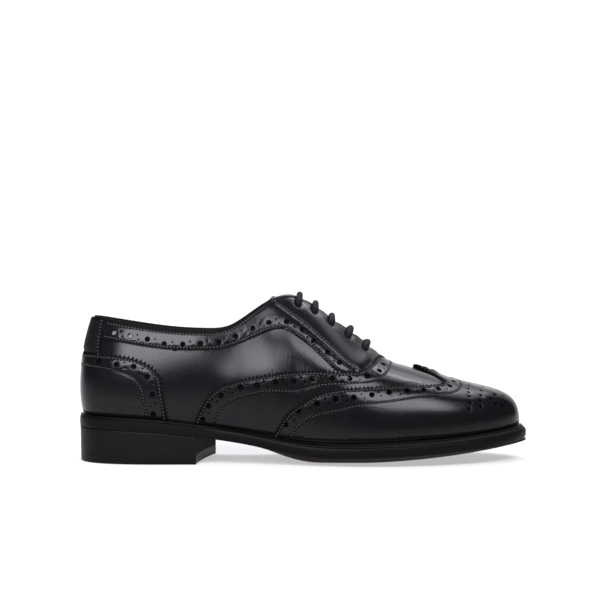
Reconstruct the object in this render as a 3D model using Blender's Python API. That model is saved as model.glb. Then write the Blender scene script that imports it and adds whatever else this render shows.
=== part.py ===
"""Wingtip shoe for the right foot, empty, standing on its heel and sole.

The upper is one function of two numbers: a loop number that runs round the shoe and a height t
that runs up the wall, from the bottom edge (0) to the collar, throat or vamp ridge (1). Every
leather piece is cut from that function, between two offsets. The sole's layers follow the same
bottom edge. X runs from heel to toe, the outer side of the foot is at -Y, and Z is up.
"""

import math
from typing import NamedTuple

import bmesh
import bpy
import numpy as np
from mathutils import Vector
from mathutils.geometry import delaunay_2d_cdt

for old in list(bpy.data.objects):
    bpy.data.objects.remove(old, do_unlink=True)

# Driving sizes, in millimetres. Meshes are made in metres.
MM = 0.001
LENGTH = 301.4
BALL_WIDTH = 100.0
INSTEP = 110.0
SEAM_GAP = 0.3
PANEL_GAP = 0.5

# Leather
WALL = 2.0
SEAT_ON_WALL = 0.55
FACING_SEAT = 0.8
WING_TOP = 2.0
VAMP_TOP = 1.2
COUNTER_TOP = 1.2
BAND_TOP = 1.2
FACING_TOP = 1.9
STRIP_TOP = 1.7

# Sole, from the upper's bottom edge downwards
WELT_EDGE = 1.2
WELT_FLAT = 2.7
WELT_INSIDE = -6.0
MIDSOLE_EDGE = 3.6
OUTSOLE_EDGE = 2.8
EDGE_ROUND = 0.8
TREAD_FLAT_FROM = 162.0
TREAD_FLAT_TO = 192.0
ARCH_FROM = 115.0
TOE_SPRING = 12.4
SPRING_POWER = 1.6
# Rings of the tread, from the middle out: how far in from the edge, and share of the crown
TREAD_RINGS = ((0.62, 1.0), (0.3, 0.72))
INSOLE = 3.0
INSOLE_INSET = -(WALL + 0.7)

# Heel
TOP_LIFT = 6.0
BREAST_MIDDLE = 85.8
BREAST_SLANT = 0.139
BREAST_HOLLOW = 1.5

# Lace
EYELETS = 5
FIRST_EYELET = 148.2
EYELET_PITCH = 10.8
EYELET_DOWN = 8.3
EYELET_RADIUS = 2.5
PUNCH_REACH = 5.0
LACE_RADIUS = 1.75
LACE_OVER = 3.9
LACE_UNDER = -4.3
LACE_LEAN = 0.14
LACE_PITCH = 2.2
RETURN_DOWN = 13.5

# Lace up through one eyelet and on to its bar: mm from the eyelet towards the throat, and
# offset from the wall's outer face
LACE_RISE = ((0.0, -3.1), (0.0, -0.6), (0.0, 1.8), (1.0, 3.7), (3.4, LACE_OVER), (7.6, LACE_OVER))
# Lace under the facing from one eyelet to the next: share of the way, and offset
LACE_STEP = ((0.25, LACE_UNDER), (0.5, LACE_UNDER), (0.75, LACE_UNDER))

TONGUE_THICK = 2.0
TONGUE_CROWN = 0.55


class Rib(NamedTuple):
    """One pair of ribs. Stations are percent of LENGTH, widths and heights as each line says."""

    name: str
    foot: float      # bottom edge, percent of LENGTH from the back
    lateral: float   # bottom edge to middle line, outer side, percent of BALL_WIDTH
    medial: float    # the same on the inner side
    seat: float      # height of the bottom edge, mm
    margin: float    # sole edge outside the bottom edge, mm
    lip: float       # drop of the welt's bevel, mm
    top: float       # collar, throat or ridge, percent of LENGTH
    middle: float    # its middle line, mm from the shoe's
    height: float    # its height, percent of INSTEP
    gap: float       # half the opening there, mm
    rise: float      # lower handle upwards, mm
    swell: float     # lower handle outwards, mm
    arch: float      # extra swell on the inner side, mm
    shoulder: float  # upper handle outwards, mm
    drop: float      # upper handle downwards, mm


SECTIONS = (
    #   name          foot  lat   med   seat  marg lip  top   mid  height gap  rise  sw   ar   sho   dr
    Rib("heel back",   1.4, 0.0,  0.0,  31.4, 3.4, 0.4,  3.4,  0.0, 87.3, 0.0, 18.6, 5.0, 0.0,  6.9, 20.0),
    Rib("heel turn",   3.6, 17.5, 17.5, 31.2, 3.4, 0.4,  4.7,  0.0, 86.7, 11.5, 18.6, 5.2, 0.0, 6.5, 20.0),
    Rib("heel side",  10.3, 28.3, 28.0, 30.5, 3.4, 0.4, 10.3,  0.0, 84.0, 21.0, 18.0, 5.2, 0.0, 5.5, 19.0),
    Rib("counter",    19.4, 31.0, 30.0, 28.9, 3.2, 0.4, 19.2,  0.0, 80.4, 25.5, 17.0, 4.6, 0.0, 4.5, 18.0),
    Rib("seat",       29.2, 31.0, 27.5, 25.5, 3.0, 0.4, 27.5, -0.5, 79.0, 26.5, 17.0, 4.0, 1.5, 4.5, 18.0),
    Rib("waist",      38.2, 33.0, 24.5, 21.6, 3.0, 0.6, 34.8, -1.0, 82.7, 23.5, 18.0, 3.5, 4.0, 6.0, 20.0),
    Rib("instep",     45.8, 36.0, 25.5, 17.6, 3.4, 1.1, 42.1, -1.5, 96.3, 14.5, 24.0, 3.2, 4.5, 13.0, 17.0),
    Rib("throat top", 52.1, 40.0, 29.5, 15.6, 4.4, 1.6, 48.8, -1.5, 100.2, 4.0, 31.0, 3.1, 3.0, 18.5, 12.0),
    Rib("throat",     59.4, 43.8, 37.5, 15.3, 5.2, 1.8, 57.7, -0.5, 83.9, 2.0, 30.0, 2.9, 1.0, 22.5, 8.0),
    Rib("throat end", 66.4, 45.3, 43.8, 16.0, 5.6, 1.8, 66.3,  1.0, 62.6, 0.0, 25.5, 2.7, 0.0, 29.5, 0.0),
    Rib("ball",       73.0, 43.5, 45.5, 16.9, 5.6, 1.8, 72.7,  2.0, 56.0, 0.0, 23.5, 2.5, 0.0, 32.0, 0.0),
    Rib("vamp",       80.3, 38.0, 42.3, 18.1, 5.8, 1.8, 78.0,  3.0, 51.5, 0.0, 21.0, 2.3, 0.0, 31.0, 0.0),
    Rib("toe box",    87.6, 28.5, 35.5, 19.8, 6.0, 1.8, 82.1,  3.8, 48.4, 0.0, 19.2, 2.1, 0.0, 28.5, 0.0),
    Rib("toe corner", 93.9, 16.0, 25.5, 21.8, 6.2, 1.8, 85.2,  4.3, 46.3, 0.0, 18.0, 1.5, 0.0, 27.5, 0.0),
    Rib("toe turn",   96.7, 6.0,  16.5, 22.9, 6.4, 1.8, 86.6,  4.6, 45.3, 0.0, 17.3, 0.9, 0.0, 27.0, 0.0),
    Rib("toe tip",    97.8, -5.3, 5.3,  23.3, 6.5, 1.8, 87.1,  4.7, 45.0, 0.0, 17.5, 0.4, 0.0, 26.5, 0.0),
)
SECTION_STEPS = (3, 2, 2, 2, 2, 2, 2, 2, 2, 2, 2, 3, 3, 2, 2)
WALL_STEPS = 10
THROAT_ROW = 8
THROAT_END_ROW = 9
TIP = 100.0
LOOP = 2 * TIP


class ClosedSpline:
    """Smooth closed curve of any number of columns through values at rising knots."""

    def __init__(self, knots, values):
        self.knots = np.asarray(knots, float)
        self.values = np.asarray(values, float)
        self.gaps = np.diff(np.append(self.knots, self.knots[0] + LOOP))
        before = np.roll(self.gaps, 1)
        count = len(self.knots)
        slopes = (np.roll(self.values, -1, axis=0) - self.values) / self.gaps[:, None]
        row = np.arange(count)
        matrix = np.zeros((count, count))
        matrix[row, row] = 2 * (self.gaps + before)
        matrix[row, (row + 1) % count] = self.gaps
        matrix[row, (row - 1) % count] = before
        self.bends = np.linalg.solve(matrix, 6 * (slopes - np.roll(slopes, 1, axis=0)))

    def __call__(self, where):
        where = np.mod(where, LOOP)
        index = np.searchsorted(self.knots, where, side="right") - 1
        after = (index + 1) % len(self.knots)
        gap = self.gaps[index][:, None]
        b = (where - self.knots[index])[:, None] / gap
        a = 1 - b
        straight = a * self.values[index] + b * self.values[after]
        bend = (a ** 3 - a) * self.bends[index] + (b ** 3 - b) * self.bends[after]
        return straight + bend * gap ** 2 / 6


def smoothstep(x):
    x = np.clip(x, 0.0, 1.0)
    return x * x * (3 - 2 * x)


def foot_point(section, side):
    """Bottom edge of one rib; side is -1 on the outer side and +1 on the inner."""
    width = section.medial if side > 0 else section.lateral
    return np.array((section.foot * LENGTH, side * width * BALL_WIDTH, section.seat * 100)) / 100


def section_stations():
    """Station of each section, 0 at the heel to 100 at the toe, by distance along the edge."""
    reach = [0.0]
    for here, ahead in zip(SECTIONS, SECTIONS[1:]):
        steps = [np.linalg.norm(foot_point(ahead, side) - foot_point(here, side)) for side in (-1, 1)]
        reach.append(reach[-1] + sum(steps) / 2)
    return TIP * np.array(reach) / reach[-1]


STATIONS = section_stations()
LAST = len(SECTIONS) - 1
ROUND = [(row, -1) for row in range(LAST + 1)] + [(row, 1) for row in range(LAST - 1, 0, -1)]
KNOTS = [STATIONS[row] if side < 0 else LOOP - STATIONS[row] for row, side in ROUND]

FOOT = ClosedSpline(KNOTS, [foot_point(SECTIONS[row], side) for row, side in ROUND])
SOLE_SIZES = ClosedSpline(KNOTS, [(SECTIONS[row].margin, SECTIONS[row].lip) for row, side in ROUND])


def outward(loop):
    """Level unit vectors that point out of the shoe, square to its bottom edge."""
    step = 0.05
    along = FOOT(loop + step) - FOOT(loop - step)
    across = np.stack((along[:, 1], -along[:, 0], np.zeros(len(along))), axis=1)
    return across / np.linalg.norm(across, axis=1)[:, None]


def ridge_slope(row):
    """Fall of the vamp's ridge at a section, so both sides leave the ridge in one plane."""
    if row < THROAT_END_ROW:
        return 0.0
    back = SECTIONS[row - 1]
    ahead = SECTIONS[min(row + 1, LAST)]
    return (ahead.height - back.height) * INSTEP / ((ahead.top - back.top) * LENGTH)


def rib_row(row, side, out):
    """Top point, opening and both handles of one rib, as one row of numbers."""
    section = SECTIONS[row]
    top = (section.top * LENGTH / 100, section.middle, section.height * INSTEP / 100)
    swell = section.swell + (section.arch if side > 0 else 0.0)
    low = out * swell + np.array((0, 0, section.rise))
    high = out * section.shoulder
    high[2] = ridge_slope(row) * high[0] - section.drop
    return np.concatenate((top, (side * section.gap,), low, high))


RIBS = ClosedSpline(KNOTS, [rib_row(row, side, out) for (row, side), out
                            in zip(ROUND, outward(np.array(KNOTS)))])


def skin(loop, t):
    """Points of the upper's outer face at loop numbers and heights of one shape."""
    foot = FOOT(loop)
    ribs = RIBS(loop)
    station = np.minimum(np.mod(loop, LOOP), LOOP - np.mod(loop, LOOP))
    throat = STATIONS[THROAT_ROW]
    closed = smoothstep((station - throat) / (STATIONS[THROAT_END_ROW] - throat))
    top = ribs[:, :3].copy()
    top[:, 1] += ribs[:, 3] * (1 - closed)
    low = foot + ribs[:, 4:7]
    high = top + ribs[:, 7:10]
    t = t[:, None]
    u = 1 - t
    return u ** 3 * foot + 3 * u * u * t * low + 3 * u * t * t * high + t ** 3 * top


def skin_normal(loop, t):
    """Unit vectors square to the upper's face, pointing out."""
    step = 0.05
    rise = 0.003
    below_ridge = np.minimum(t, 0.98)
    along = skin(loop + step, below_ridge) - skin(loop - step, below_ridge)
    up = skin(loop, np.minimum(t + rise, 1)) - skin(loop, np.maximum(t - rise, 0))
    normal = np.cross(along, up)
    return normal / np.linalg.norm(normal, axis=1)[:, None]


def lifted(loop, t, offset):
    """Points that stand off the upper's outer face; a negative offset is inside the wall."""
    loop = np.asarray(loop, float)
    t = np.asarray(t, float)
    return skin(loop, t) + np.reshape(offset, (-1, 1)) * skin_normal(loop, t)


def flat_to_loop(flat):
    """Turn (station, v) pairs into loop numbers and heights.

    v runs from -1 at the outer bottom edge, over the top at 0, to 1 at the inner bottom edge.
    """
    station, v = np.asarray(flat, float).T
    return np.where(v > 0, LOOP - station, station), 1 - np.abs(v)


def down_rib(loop, distance):
    """Height t that lies a distance in mm below the top of one rib."""
    t = np.linspace(1, 0, 200)
    points = skin(np.full(200, loop), t)
    reach = np.append(0, np.cumsum(np.linalg.norm(np.diff(points, axis=0), axis=1)))
    return float(np.interp(distance, reach, t))


def outline(loop, distance):
    """Bottom edge of the upper, moved outwards in plan by a distance in mm."""
    return FOOT(loop) + outward(loop) * np.reshape(distance, (-1, 1))


def grid_stations():
    """Stations of the mesh, denser round toe and heel."""
    values = [0.0]
    for row, steps in enumerate(SECTION_STEPS):
        values.extend(np.linspace(STATIONS[row], STATIONS[row + 1], steps + 1)[1:])
    return np.array(values)


GRID = grid_stations()
GRID_LOOP = np.concatenate((GRID, LOOP - GRID[-2:0:-1]))
GRID_T = np.linspace(0, 1, WALL_STEPS + 1)
OPEN_UNTIL = sum(SECTION_STEPS[:THROAT_END_ROW])

MARGIN, LIP = SOLE_SIZES(GRID_LOOP).T
SOLE_EDGE = outline(GRID_LOOP, MARGIN)
FRAME_X, FRAME_Y = (SOLE_EDGE.min(axis=0) + SOLE_EDGE.max(axis=0))[:2] / 2


def finish(name, colour, roughness):
    """Plain material with the piece's colour and gloss."""
    material = bpy.data.materials.new(name)
    material.use_nodes = True
    shader = material.node_tree.nodes["Principled BSDF"]
    shader.inputs["Base Color"].default_value = (*colour, 1.0)
    shader.inputs["Roughness"].default_value = roughness
    material.diffuse_color = (*colour, 1.0)
    return material


BLACK_CALF = finish("black_calf", (0.012, 0.012, 0.014), 0.35)
BLACK_EDGE = finish("black_edge", (0.015, 0.014, 0.014), 0.45)
BROWN_STACK = finish("brown_stack", (0.035, 0.018, 0.011), 0.6)
BLACK_RUBBER = finish("black_rubber", (0.014, 0.014, 0.014), 0.7)
GREY_LINING = finish("grey_lining", (0.40, 0.38, 0.36), 0.65)
BLACK_CORD = finish("black_cord", (0.012, 0.012, 0.013), 0.75)


def to_frame(points):
    """Millimetres from the heel's back to metres from the middle of the shoe's footprint."""
    return (np.asarray(points, float) - (FRAME_X, FRAME_Y, 0.0)) * MM


def add_mesh(name, points, faces, material):
    """Make one named object from points in mm, with its faces turned outwards."""
    mesh = bpy.data.meshes.new(name)
    mesh.from_pydata(to_frame(points).tolist(), [], faces)
    work = bmesh.new()
    work.from_mesh(mesh)
    bmesh.ops.remove_doubles(work, verts=work.verts, dist=1e-6)
    bmesh.ops.recalc_face_normals(work, faces=work.faces)
    bmesh.ops.triangulate(work, faces=work.faces)
    work.to_mesh(mesh)
    work.free()
    mesh.shade_smooth()
    mesh.set_sharp_from_angle(angle=math.radians(35))
    mesh.materials.append(material)
    made = bpy.data.objects.new(name, mesh)
    bpy.context.collection.objects.link(made)
    return made


def ring_faces(first, second, count):
    """Quads between two rings of points that start at these indices."""
    return [(first + i, first + (i + 1) % count, second + (i + 1) % count, second + i) for i in range(count)]


def cap_faces(start, count):
    """Strips across one ring, from each outer-side point to its inner-side partner."""
    tip = count // 2
    faces = [(start, start + 1, start + count - 1)]
    faces += [(start + i, start + i + 1, start + count - i - 1, start + count - i) for i in range(1, tip - 1)]
    return faces + [(start + tip - 1, start + tip, start + tip + 1)]


def layer(name, rings, material):
    """Closed solid through rings of points round the shoe, capped across at both ends."""
    count = len(GRID_LOOP)
    faces = cap_faces(0, count)
    for index in range(len(rings) - 1):
        faces += ring_faces(index * count, (index + 1) * count, count)
    faces += cap_faces((len(rings) - 1) * count, count)
    return add_mesh(name, np.concatenate(rings), faces, material)


def level(ring, height):
    """The ring's plan at other heights."""
    moved = ring.copy()
    moved[:, 2] = height
    return moved


def seat_line():
    """Plan position and height along the upper's bottom edge, carried on a little past both ends."""
    edge = FOOT(np.linspace(0, TIP, 300))
    x, z = edge[:, 0], edge[:, 2]
    heel = (z[30] - z[0]) / (x[30] - x[0])
    toe = (z[-1] - z[-30]) / (x[-1] - x[-30])
    past = 10.0
    x = np.concatenate(((x[0] - past,), x, (x[-1] + past,)))
    z = np.concatenate(((z[0] - heel * past,), z, (z[-1] + toe * past,)))
    return x, z


SEAT_X, SEAT_Z = seat_line()


def under_seat(ring, depth):
    """The ring's plan, a depth in mm below the line that the upper's bottom edge follows."""
    return level(ring, np.interp(ring[:, 0], SEAT_X, SEAT_Z) - depth)


WELT_BOTTOM = LIP + WELT_EDGE
MIDSOLE_TOP = WELT_BOTTOM + SEAM_GAP
MIDSOLE_BOTTOM = MIDSOLE_TOP + MIDSOLE_EDGE
OUTSOLE_TOP = MIDSOLE_BOTTOM + SEAM_GAP
OUTSOLE_BOTTOM = OUTSOLE_TOP + OUTSOLE_EDGE


def tread_height(x, edge):
    """Height of the sole's middle: arch, flat spot at the ball, then toe spring."""
    arch = edge * (1 - smoothstep((x - ARCH_FROM) / (TREAD_FLAT_FROM - ARCH_FROM)))
    spring = np.clip((x - TREAD_FLAT_TO) / (LENGTH - TREAD_FLAT_TO), 0, 1) ** SPRING_POWER
    return np.where(x < TREAD_FLAT_FROM, arch, np.minimum(spring * TOE_SPRING, edge))


def make_outsole():
    """Bottom layer: thin at its edge, crowned to a flat spot under the ball."""
    partner = np.roll(SOLE_EDGE[::-1], 1, axis=0)
    middle = (SOLE_EDGE + partner) / 2
    rings = []
    for inward, share in TREAD_RINGS:
        ring = under_seat(SOLE_EDGE * (1 - inward) + middle * inward, OUTSOLE_BOTTOM)
        tread = tread_height(ring[:, 0], ring[:, 2])
        rings.append(level(ring, ring[:, 2] + (tread - ring[:, 2]) * share))
    rings.append(under_seat(outline(GRID_LOOP, MARGIN - EDGE_ROUND), OUTSOLE_BOTTOM))
    rings.append(under_seat(SOLE_EDGE, OUTSOLE_BOTTOM - EDGE_ROUND))
    rings.append(under_seat(SOLE_EDGE, OUTSOLE_TOP))
    return layer("outsole", rings, BLACK_EDGE)


def make_midsole():
    """Second layer, with a raised middle that fills the welt's ring."""
    inner = outline(GRID_LOOP, np.full(len(GRID_LOOP), WELT_INSIDE - SEAM_GAP))
    top_edge = outline(GRID_LOOP, MARGIN - EDGE_ROUND / 2)
    rings = [under_seat(SOLE_EDGE, MIDSOLE_BOTTOM), under_seat(top_edge, MIDSOLE_TOP)]
    rings += [under_seat(inner, MIDSOLE_TOP), under_seat(inner, SEAM_GAP)]
    return layer("midsole", rings, BLACK_EDGE)


def make_welt():
    """Bevelled strip that carries the upper's bottom edge."""
    inside = outline(GRID_LOOP, np.full(len(GRID_LOOP), WELT_INSIDE))
    flat = outline(GRID_LOOP, np.full(len(GRID_LOOP), WELT_FLAT))
    edge = outline(GRID_LOOP, MARGIN - EDGE_ROUND / 2)
    rings = [under_seat(inside, WELT_BOTTOM), under_seat(inside, SEAM_GAP), under_seat(flat, SEAM_GAP),
             under_seat(edge, LIP + SEAM_GAP), under_seat(edge, WELT_BOTTOM)]
    count = len(GRID_LOOP)
    faces = []
    for index in range(len(rings)):
        faces += ring_faces(index * count, (index + 1) % len(rings) * count, count)
    return add_mesh("welt", np.concatenate(rings), faces, BLACK_CALF)


def make_insole():
    """Sheet inside the upper, on the midsole."""
    edge = outline(GRID_LOOP, np.full(len(GRID_LOOP), INSOLE_INSET))
    return layer("insole", [under_seat(edge, 0.0), under_seat(edge, -INSOLE)], GREY_LINING)


def breast_station(side):
    """Station where the heel's slanted breast meets the sole's edge on one side."""
    stations = np.linspace(20, 45, 400)
    loop = stations if side < 0 else LOOP - stations
    edge = outline(loop, SOLE_SIZES(loop)[:, 0])
    return float(np.interp(0, edge[:, 0] - BREAST_MIDDLE - BREAST_SLANT * edge[:, 1], stations))


def heel_ring(inset, steps=12):
    """Loop numbers and plan of the heel, from the outer breast corner round to the inner one."""
    outer = np.linspace(breast_station(-1), 0, steps)
    inner = np.linspace(0, breast_station(1), steps)[1:]
    loop = np.concatenate((outer, LOOP - inner))
    return loop, outline(loop, SOLE_SIZES(loop)[:, 0] - inset)


def heel_slab(name, low, high, material):
    """Closed slab of the heel between two rings that start and end at the breast's corners."""
    count = len(low)
    hollow = []
    for ring in (low, high):
        middle = (ring[0] + ring[-1]) / 2
        middle[0] -= BREAST_HOLLOW
        hollow.append(middle)
    points = np.concatenate((low, high, hollow))
    half = count // 2
    faces = []
    for start, breast in ((0, 2 * count), (count, 2 * count + 1)):
        faces += [(start + i, start + i + 1, start + count - 2 - i, start + count - 1 - i)
                  for i in range(1, half - 1)]
        faces.append((start + half - 1, start + half, start + half + 1))
        faces.append((start, start + 1, start + count - 2, start + count - 1, breast))
    faces += [(i, i + 1, count + i + 1, count + i) for i in range(count - 1)]
    faces += [(0, count, 2 * count + 1, 2 * count), (count - 1, 2 * count, 2 * count + 1, 2 * count - 1)]
    return add_mesh(name, points, faces, material)


def make_heel():
    """Stacked block with its top on the outsole's slope, and the wearing layer under it."""
    loop, ring = heel_ring(EDGE_ROUND)
    sole = SOLE_SIZES(loop)[:, 1] + WELT_EDGE + MIDSOLE_EDGE + OUTSOLE_EDGE + 3 * SEAM_GAP
    heel_slab("top_lift", level(ring, 0.0), level(ring, TOP_LIFT), BLACK_RUBBER)
    heel_slab("heel_block", level(ring, TOP_LIFT + SEAM_GAP), under_seat(ring, sole), BROWN_STACK)


def make_upper():
    """The hollow wall: outer face, inner face, bottom edge and the rim of collar and throat."""
    ribs = len(GRID_LOOP)
    tip = len(GRID) - 1
    loop = np.repeat(GRID_LOOP, WALL_STEPS + 1)
    t = np.tile(GRID_T, ribs)
    points = np.concatenate((lifted(loop, t, 0.0), lifted(loop, t, -WALL)))
    inner = len(loop)

    def at(rib, step):
        rib %= ribs
        on_ridge = step == WALL_STEPS and rib > tip and ribs - rib >= OPEN_UNTIL
        return (ribs - rib if on_ridge else rib) * (WALL_STEPS + 1) + step

    faces = []
    for rib in range(ribs):
        for step in range(WALL_STEPS):
            quad = (at(rib, step), at(rib + 1, step), at(rib + 1, step + 1), at(rib, step + 1))
            faces.append(quad)
            faces.append(tuple(inner + corner for corner in reversed(quad)))
        rims = [(at(rib, 0), at(rib + 1, 0))]
        if rib < OPEN_UNTIL or rib >= ribs - OPEN_UNTIL:
            rims.append((at(rib, WALL_STEPS), at(rib + 1, WALL_STEPS)))
        faces += [(a, b, inner + b, inner + a) for a, b in rims]
    used = sorted({corner for face in faces for corner in face})
    place = {corner: index for index, corner in enumerate(used)}
    faces = [tuple(place[corner] for corner in face) for face in faces]
    return add_mesh("upper", points[used], faces, BLACK_CALF)


# Flat pattern: millimetres along and across, near enough to true size to lay out pieces
FLAT_STATION = 3.27
FLAT_GIRTH = 80.0
PATTERN_STEP = 7.0
PATTERN_CLEAR = 2.2
PEAK_GAP = 1.2
BOTTOM = 0.985
TOP = 0.012

# Edges of the leather pieces on one side: station, then depth from top (0) to bottom edge (1)
WING_EDGE = ((43.8, BOTTOM), (46.4, 0.837), (51.9, 0.739), (59.5, 0.635), (68.1, 0.49), (74.8, 0.396),
             (78.6, 0.32), (79.9, 0.241), (79.0, 0.123), (76.8, 0.052), (73.5, 0.0))
VAMP_EDGE = ((27.8, BOTTOM), (28.9, 0.84), (30.8, 0.69), (34.2, 0.559), (38.9, 0.51), (44.9, 0.547),
             (50.6, 0.586), (57.2, 0.554), (62.1, 0.456), (64.2, 0.31), (65.4, 0.126), (66.3, 0.0))
FACING_LINE = ((46.3, TOP), (48.2, 0.133), (50.6, 0.244), (54.0, 0.337), (57.8, 0.406), (61.3, 0.465))
BAND_EDGE = ((9.1, 0.21), (17.8, 0.23), (27.1, 0.23), (33.5, 0.209), (38.6, 0.209), (44.1, 0.256),
             (48.9, 0.313), (51.5, 0.387), (54.5, 0.458), (57.6, 0.539))
COUNTER_EDGE = ((0.0, 0.375), (4.5, 0.372), (8.9, 0.365), (12.5, 0.36), (15.9, 0.37), (18.9, 0.42),
                (20.9, 0.52), (21.6, 0.7), (22.4, BOTTOM))
STRIP_HALF = 8.7
STRIP_LOW = 0.362


def curve_through(points):
    """Smooth line through flat pattern points, in millimetres, with a point every few of them."""
    points = np.asarray(points, float) * (FLAT_STATION, FLAT_GIRTH)
    chord = np.linalg.norm(np.diff(points, axis=0), axis=1)[:, None]
    slope = np.diff(points, axis=0) / chord
    turn = (slope[:-1] * chord[1:] + slope[1:] * chord[:-1]) / (chord[:-1] + chord[1:])
    turn = np.concatenate((slope[:1], turn, slope[-1:]))
    line = [points[0]]
    for i, length in enumerate(chord[:, 0]):
        b = np.linspace(0, 1, max(1, round(length / PATTERN_STEP)) + 1)[1:, None]
        a = 1 - b
        start = points[i] * (1 + 2 * b) + turn[i] * length * b
        end = points[i + 1] * (1 + 2 * a) - turn[i + 1] * length * a
        line.extend(start * a * a + end * b * b)
    return np.array(line)


def mirrored(line):
    """The same line on the other side of the shoe, run the other way."""
    return line[::-1] * (1, -1)


def moved_left(line, distance):
    """The line moved to the left of its own direction."""
    along = np.gradient(line, axis=0)
    along /= np.linalg.norm(along, axis=1)[:, None]
    return line + np.stack((-along[:, 1], along[:, 0]), axis=1) * distance


def over_top(flat):
    """Flat pattern of a piece that crosses the ridge: depth is signed, outer side negative."""
    return flat_to_loop(flat / (FLAT_STATION, FLAT_GIRTH))


def round_heel(flat):
    """Flat pattern of a piece that goes round the heel: station is signed, inner side negative."""
    station, depth = (flat / (FLAT_STATION, FLAT_GIRTH)).T
    return np.mod(station, LOOP), 1 - depth


def inside_pattern(points, line):
    """Which points lie inside a closed line and clear of it."""
    start = line
    edge = np.roll(line, -1, axis=0) - start
    to_point = points[:, None, :] - start
    share = np.clip((to_point * edge).sum(2) / (edge * edge).sum(1), 0, 1)
    gap = np.linalg.norm(to_point - share[:, :, None] * edge, axis=2).min(1)
    end = start + edge
    spans = (start[:, 1] > points[:, None, 1]) != (end[:, 1] > points[:, None, 1])
    rise = np.where(edge[:, 1] == 0, 1.0, edge[:, 1])
    crossing = start[:, 0] + (points[:, None, 1] - start[:, 1]) / rise * edge[:, 0]
    inside = (spans & (points[:, None, 0] < crossing)).sum(1) % 2 == 1
    return inside & (gap > PATTERN_CLEAR)


def pattern_mesh(line):
    """Triangles that fill a closed flat line, with the wall's own mesh points inside it."""
    across = np.concatenate((GRID, -GRID)) * FLAT_STATION
    depth = np.concatenate((1 - GRID_T, GRID_T - 1)) * FLAT_GIRTH
    points = np.unique(np.stack(np.meshgrid(across, depth), axis=2).reshape(-1, 2), axis=0)
    points = points[inside_pattern(points, line)]
    count = len(line)
    edges = [(i, (i + 1) % count) for i in range(count)]
    corners = [Vector(point) for point in np.concatenate((line, points))]
    found = delaunay_2d_cdt(corners, edges, [list(range(count))], 1, 1e-4)
    return np.array([tuple(corner) for corner in found[0]]), found[2]


def overlay(name, line, place, top, seat=SEAT_ON_WALL):
    """Leather piece over the wall: the flat line's shape between two offsets of the upper."""
    flat, faces = pattern_mesh(line)
    loop, t = place(flat)
    high = lifted(loop, t, top)
    low = lifted(loop, t, seat)
    first = {}
    same = [first.setdefault(tuple(np.round(point, 3)), index) for index, point in enumerate(high)]
    faces = [tuple(same[corner] for corner in face) for face in faces]
    sides = {(face[i], face[(i + 1) % 3]) for face in faces for i in range(3)}
    count = len(high)
    solid = faces + [tuple(count + corner for corner in reversed(face)) for face in faces]
    solid += [(b, a, count + a, count + b) for a, b in sides if (b, a) not in sides]
    used = sorted({corner for face in solid for corner in face})
    index = {corner: i for i, corner in enumerate(used)}
    solid = [tuple(index[corner] for corner in face) for face in solid]
    return add_mesh(name, np.concatenate((high, low))[used], solid, BLACK_CALF)


def joined(*lines):
    """One closed line from lines that follow each other, without doubled corners."""
    line = np.concatenate(lines)
    keep = np.linalg.norm(line - np.roll(line, 1, axis=0), axis=1) > 0.3
    return line[keep]


def make_wing_cap():
    """Toe piece with its wings: one peak on the ridge and a long tail down each side."""
    edge = curve_through(WING_EDGE) * (1, -1)
    back = mirrored(edge)
    tail = WING_EDGE[0][0]
    bottom = curve_through(((tail, BOTTOM), (TIP, BOTTOM)))
    seam = curve_through(((TIP, BOTTOM), (TIP, -BOTTOM)))
    overlay("wing_cap", joined(edge, back, bottom, seam, mirrored(bottom)), over_top, WING_TOP)


def make_vamp_panel():
    """Piece between throat and wing cap, with tails back towards the heel."""
    edge = curve_through(VAMP_EDGE) * (1, -1)
    front = moved_left(curve_through(WING_EDGE) * (1, -1), PANEL_GAP)
    front = front[:-1]
    peak = np.array(((WING_EDGE[-1][0] * FLAT_STATION - PEAK_GAP, 0.0),))
    tail = curve_through(((VAMP_EDGE[0][0], BOTTOM), (WING_EDGE[0][0] - 0.3, BOTTOM)))
    line = joined(edge, mirrored(edge), tail, front * (1, -1), peak, front[::-1], mirrored(tail))
    overlay("vamp_panel", line, over_top, VAMP_TOP)


def make_counter_and_strip():
    """Heel counter, and the strip that covers the back seam above it."""
    edge = curve_through(COUNTER_EDGE)
    bottom = curve_through(((COUNTER_EDGE[-1][0], BOTTOM), (-COUNTER_EDGE[-1][0], BOTTOM)))
    overlay("heel_counter", joined(edge, bottom, edge[::-1] * (-1, 1)), round_heel, COUNTER_TOP)
    low = STRIP_LOW - PANEL_GAP / FLAT_GIRTH
    side = curve_through(((STRIP_HALF, TOP), (STRIP_HALF, low)))
    foot = curve_through(((STRIP_HALF, low), (-STRIP_HALF, low)))
    top = curve_through(((-STRIP_HALF, TOP), (STRIP_HALF, TOP)))
    overlay("back_strip", joined(side, foot, side[::-1] * (-1, 1), top), round_heel, STRIP_TOP)


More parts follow.
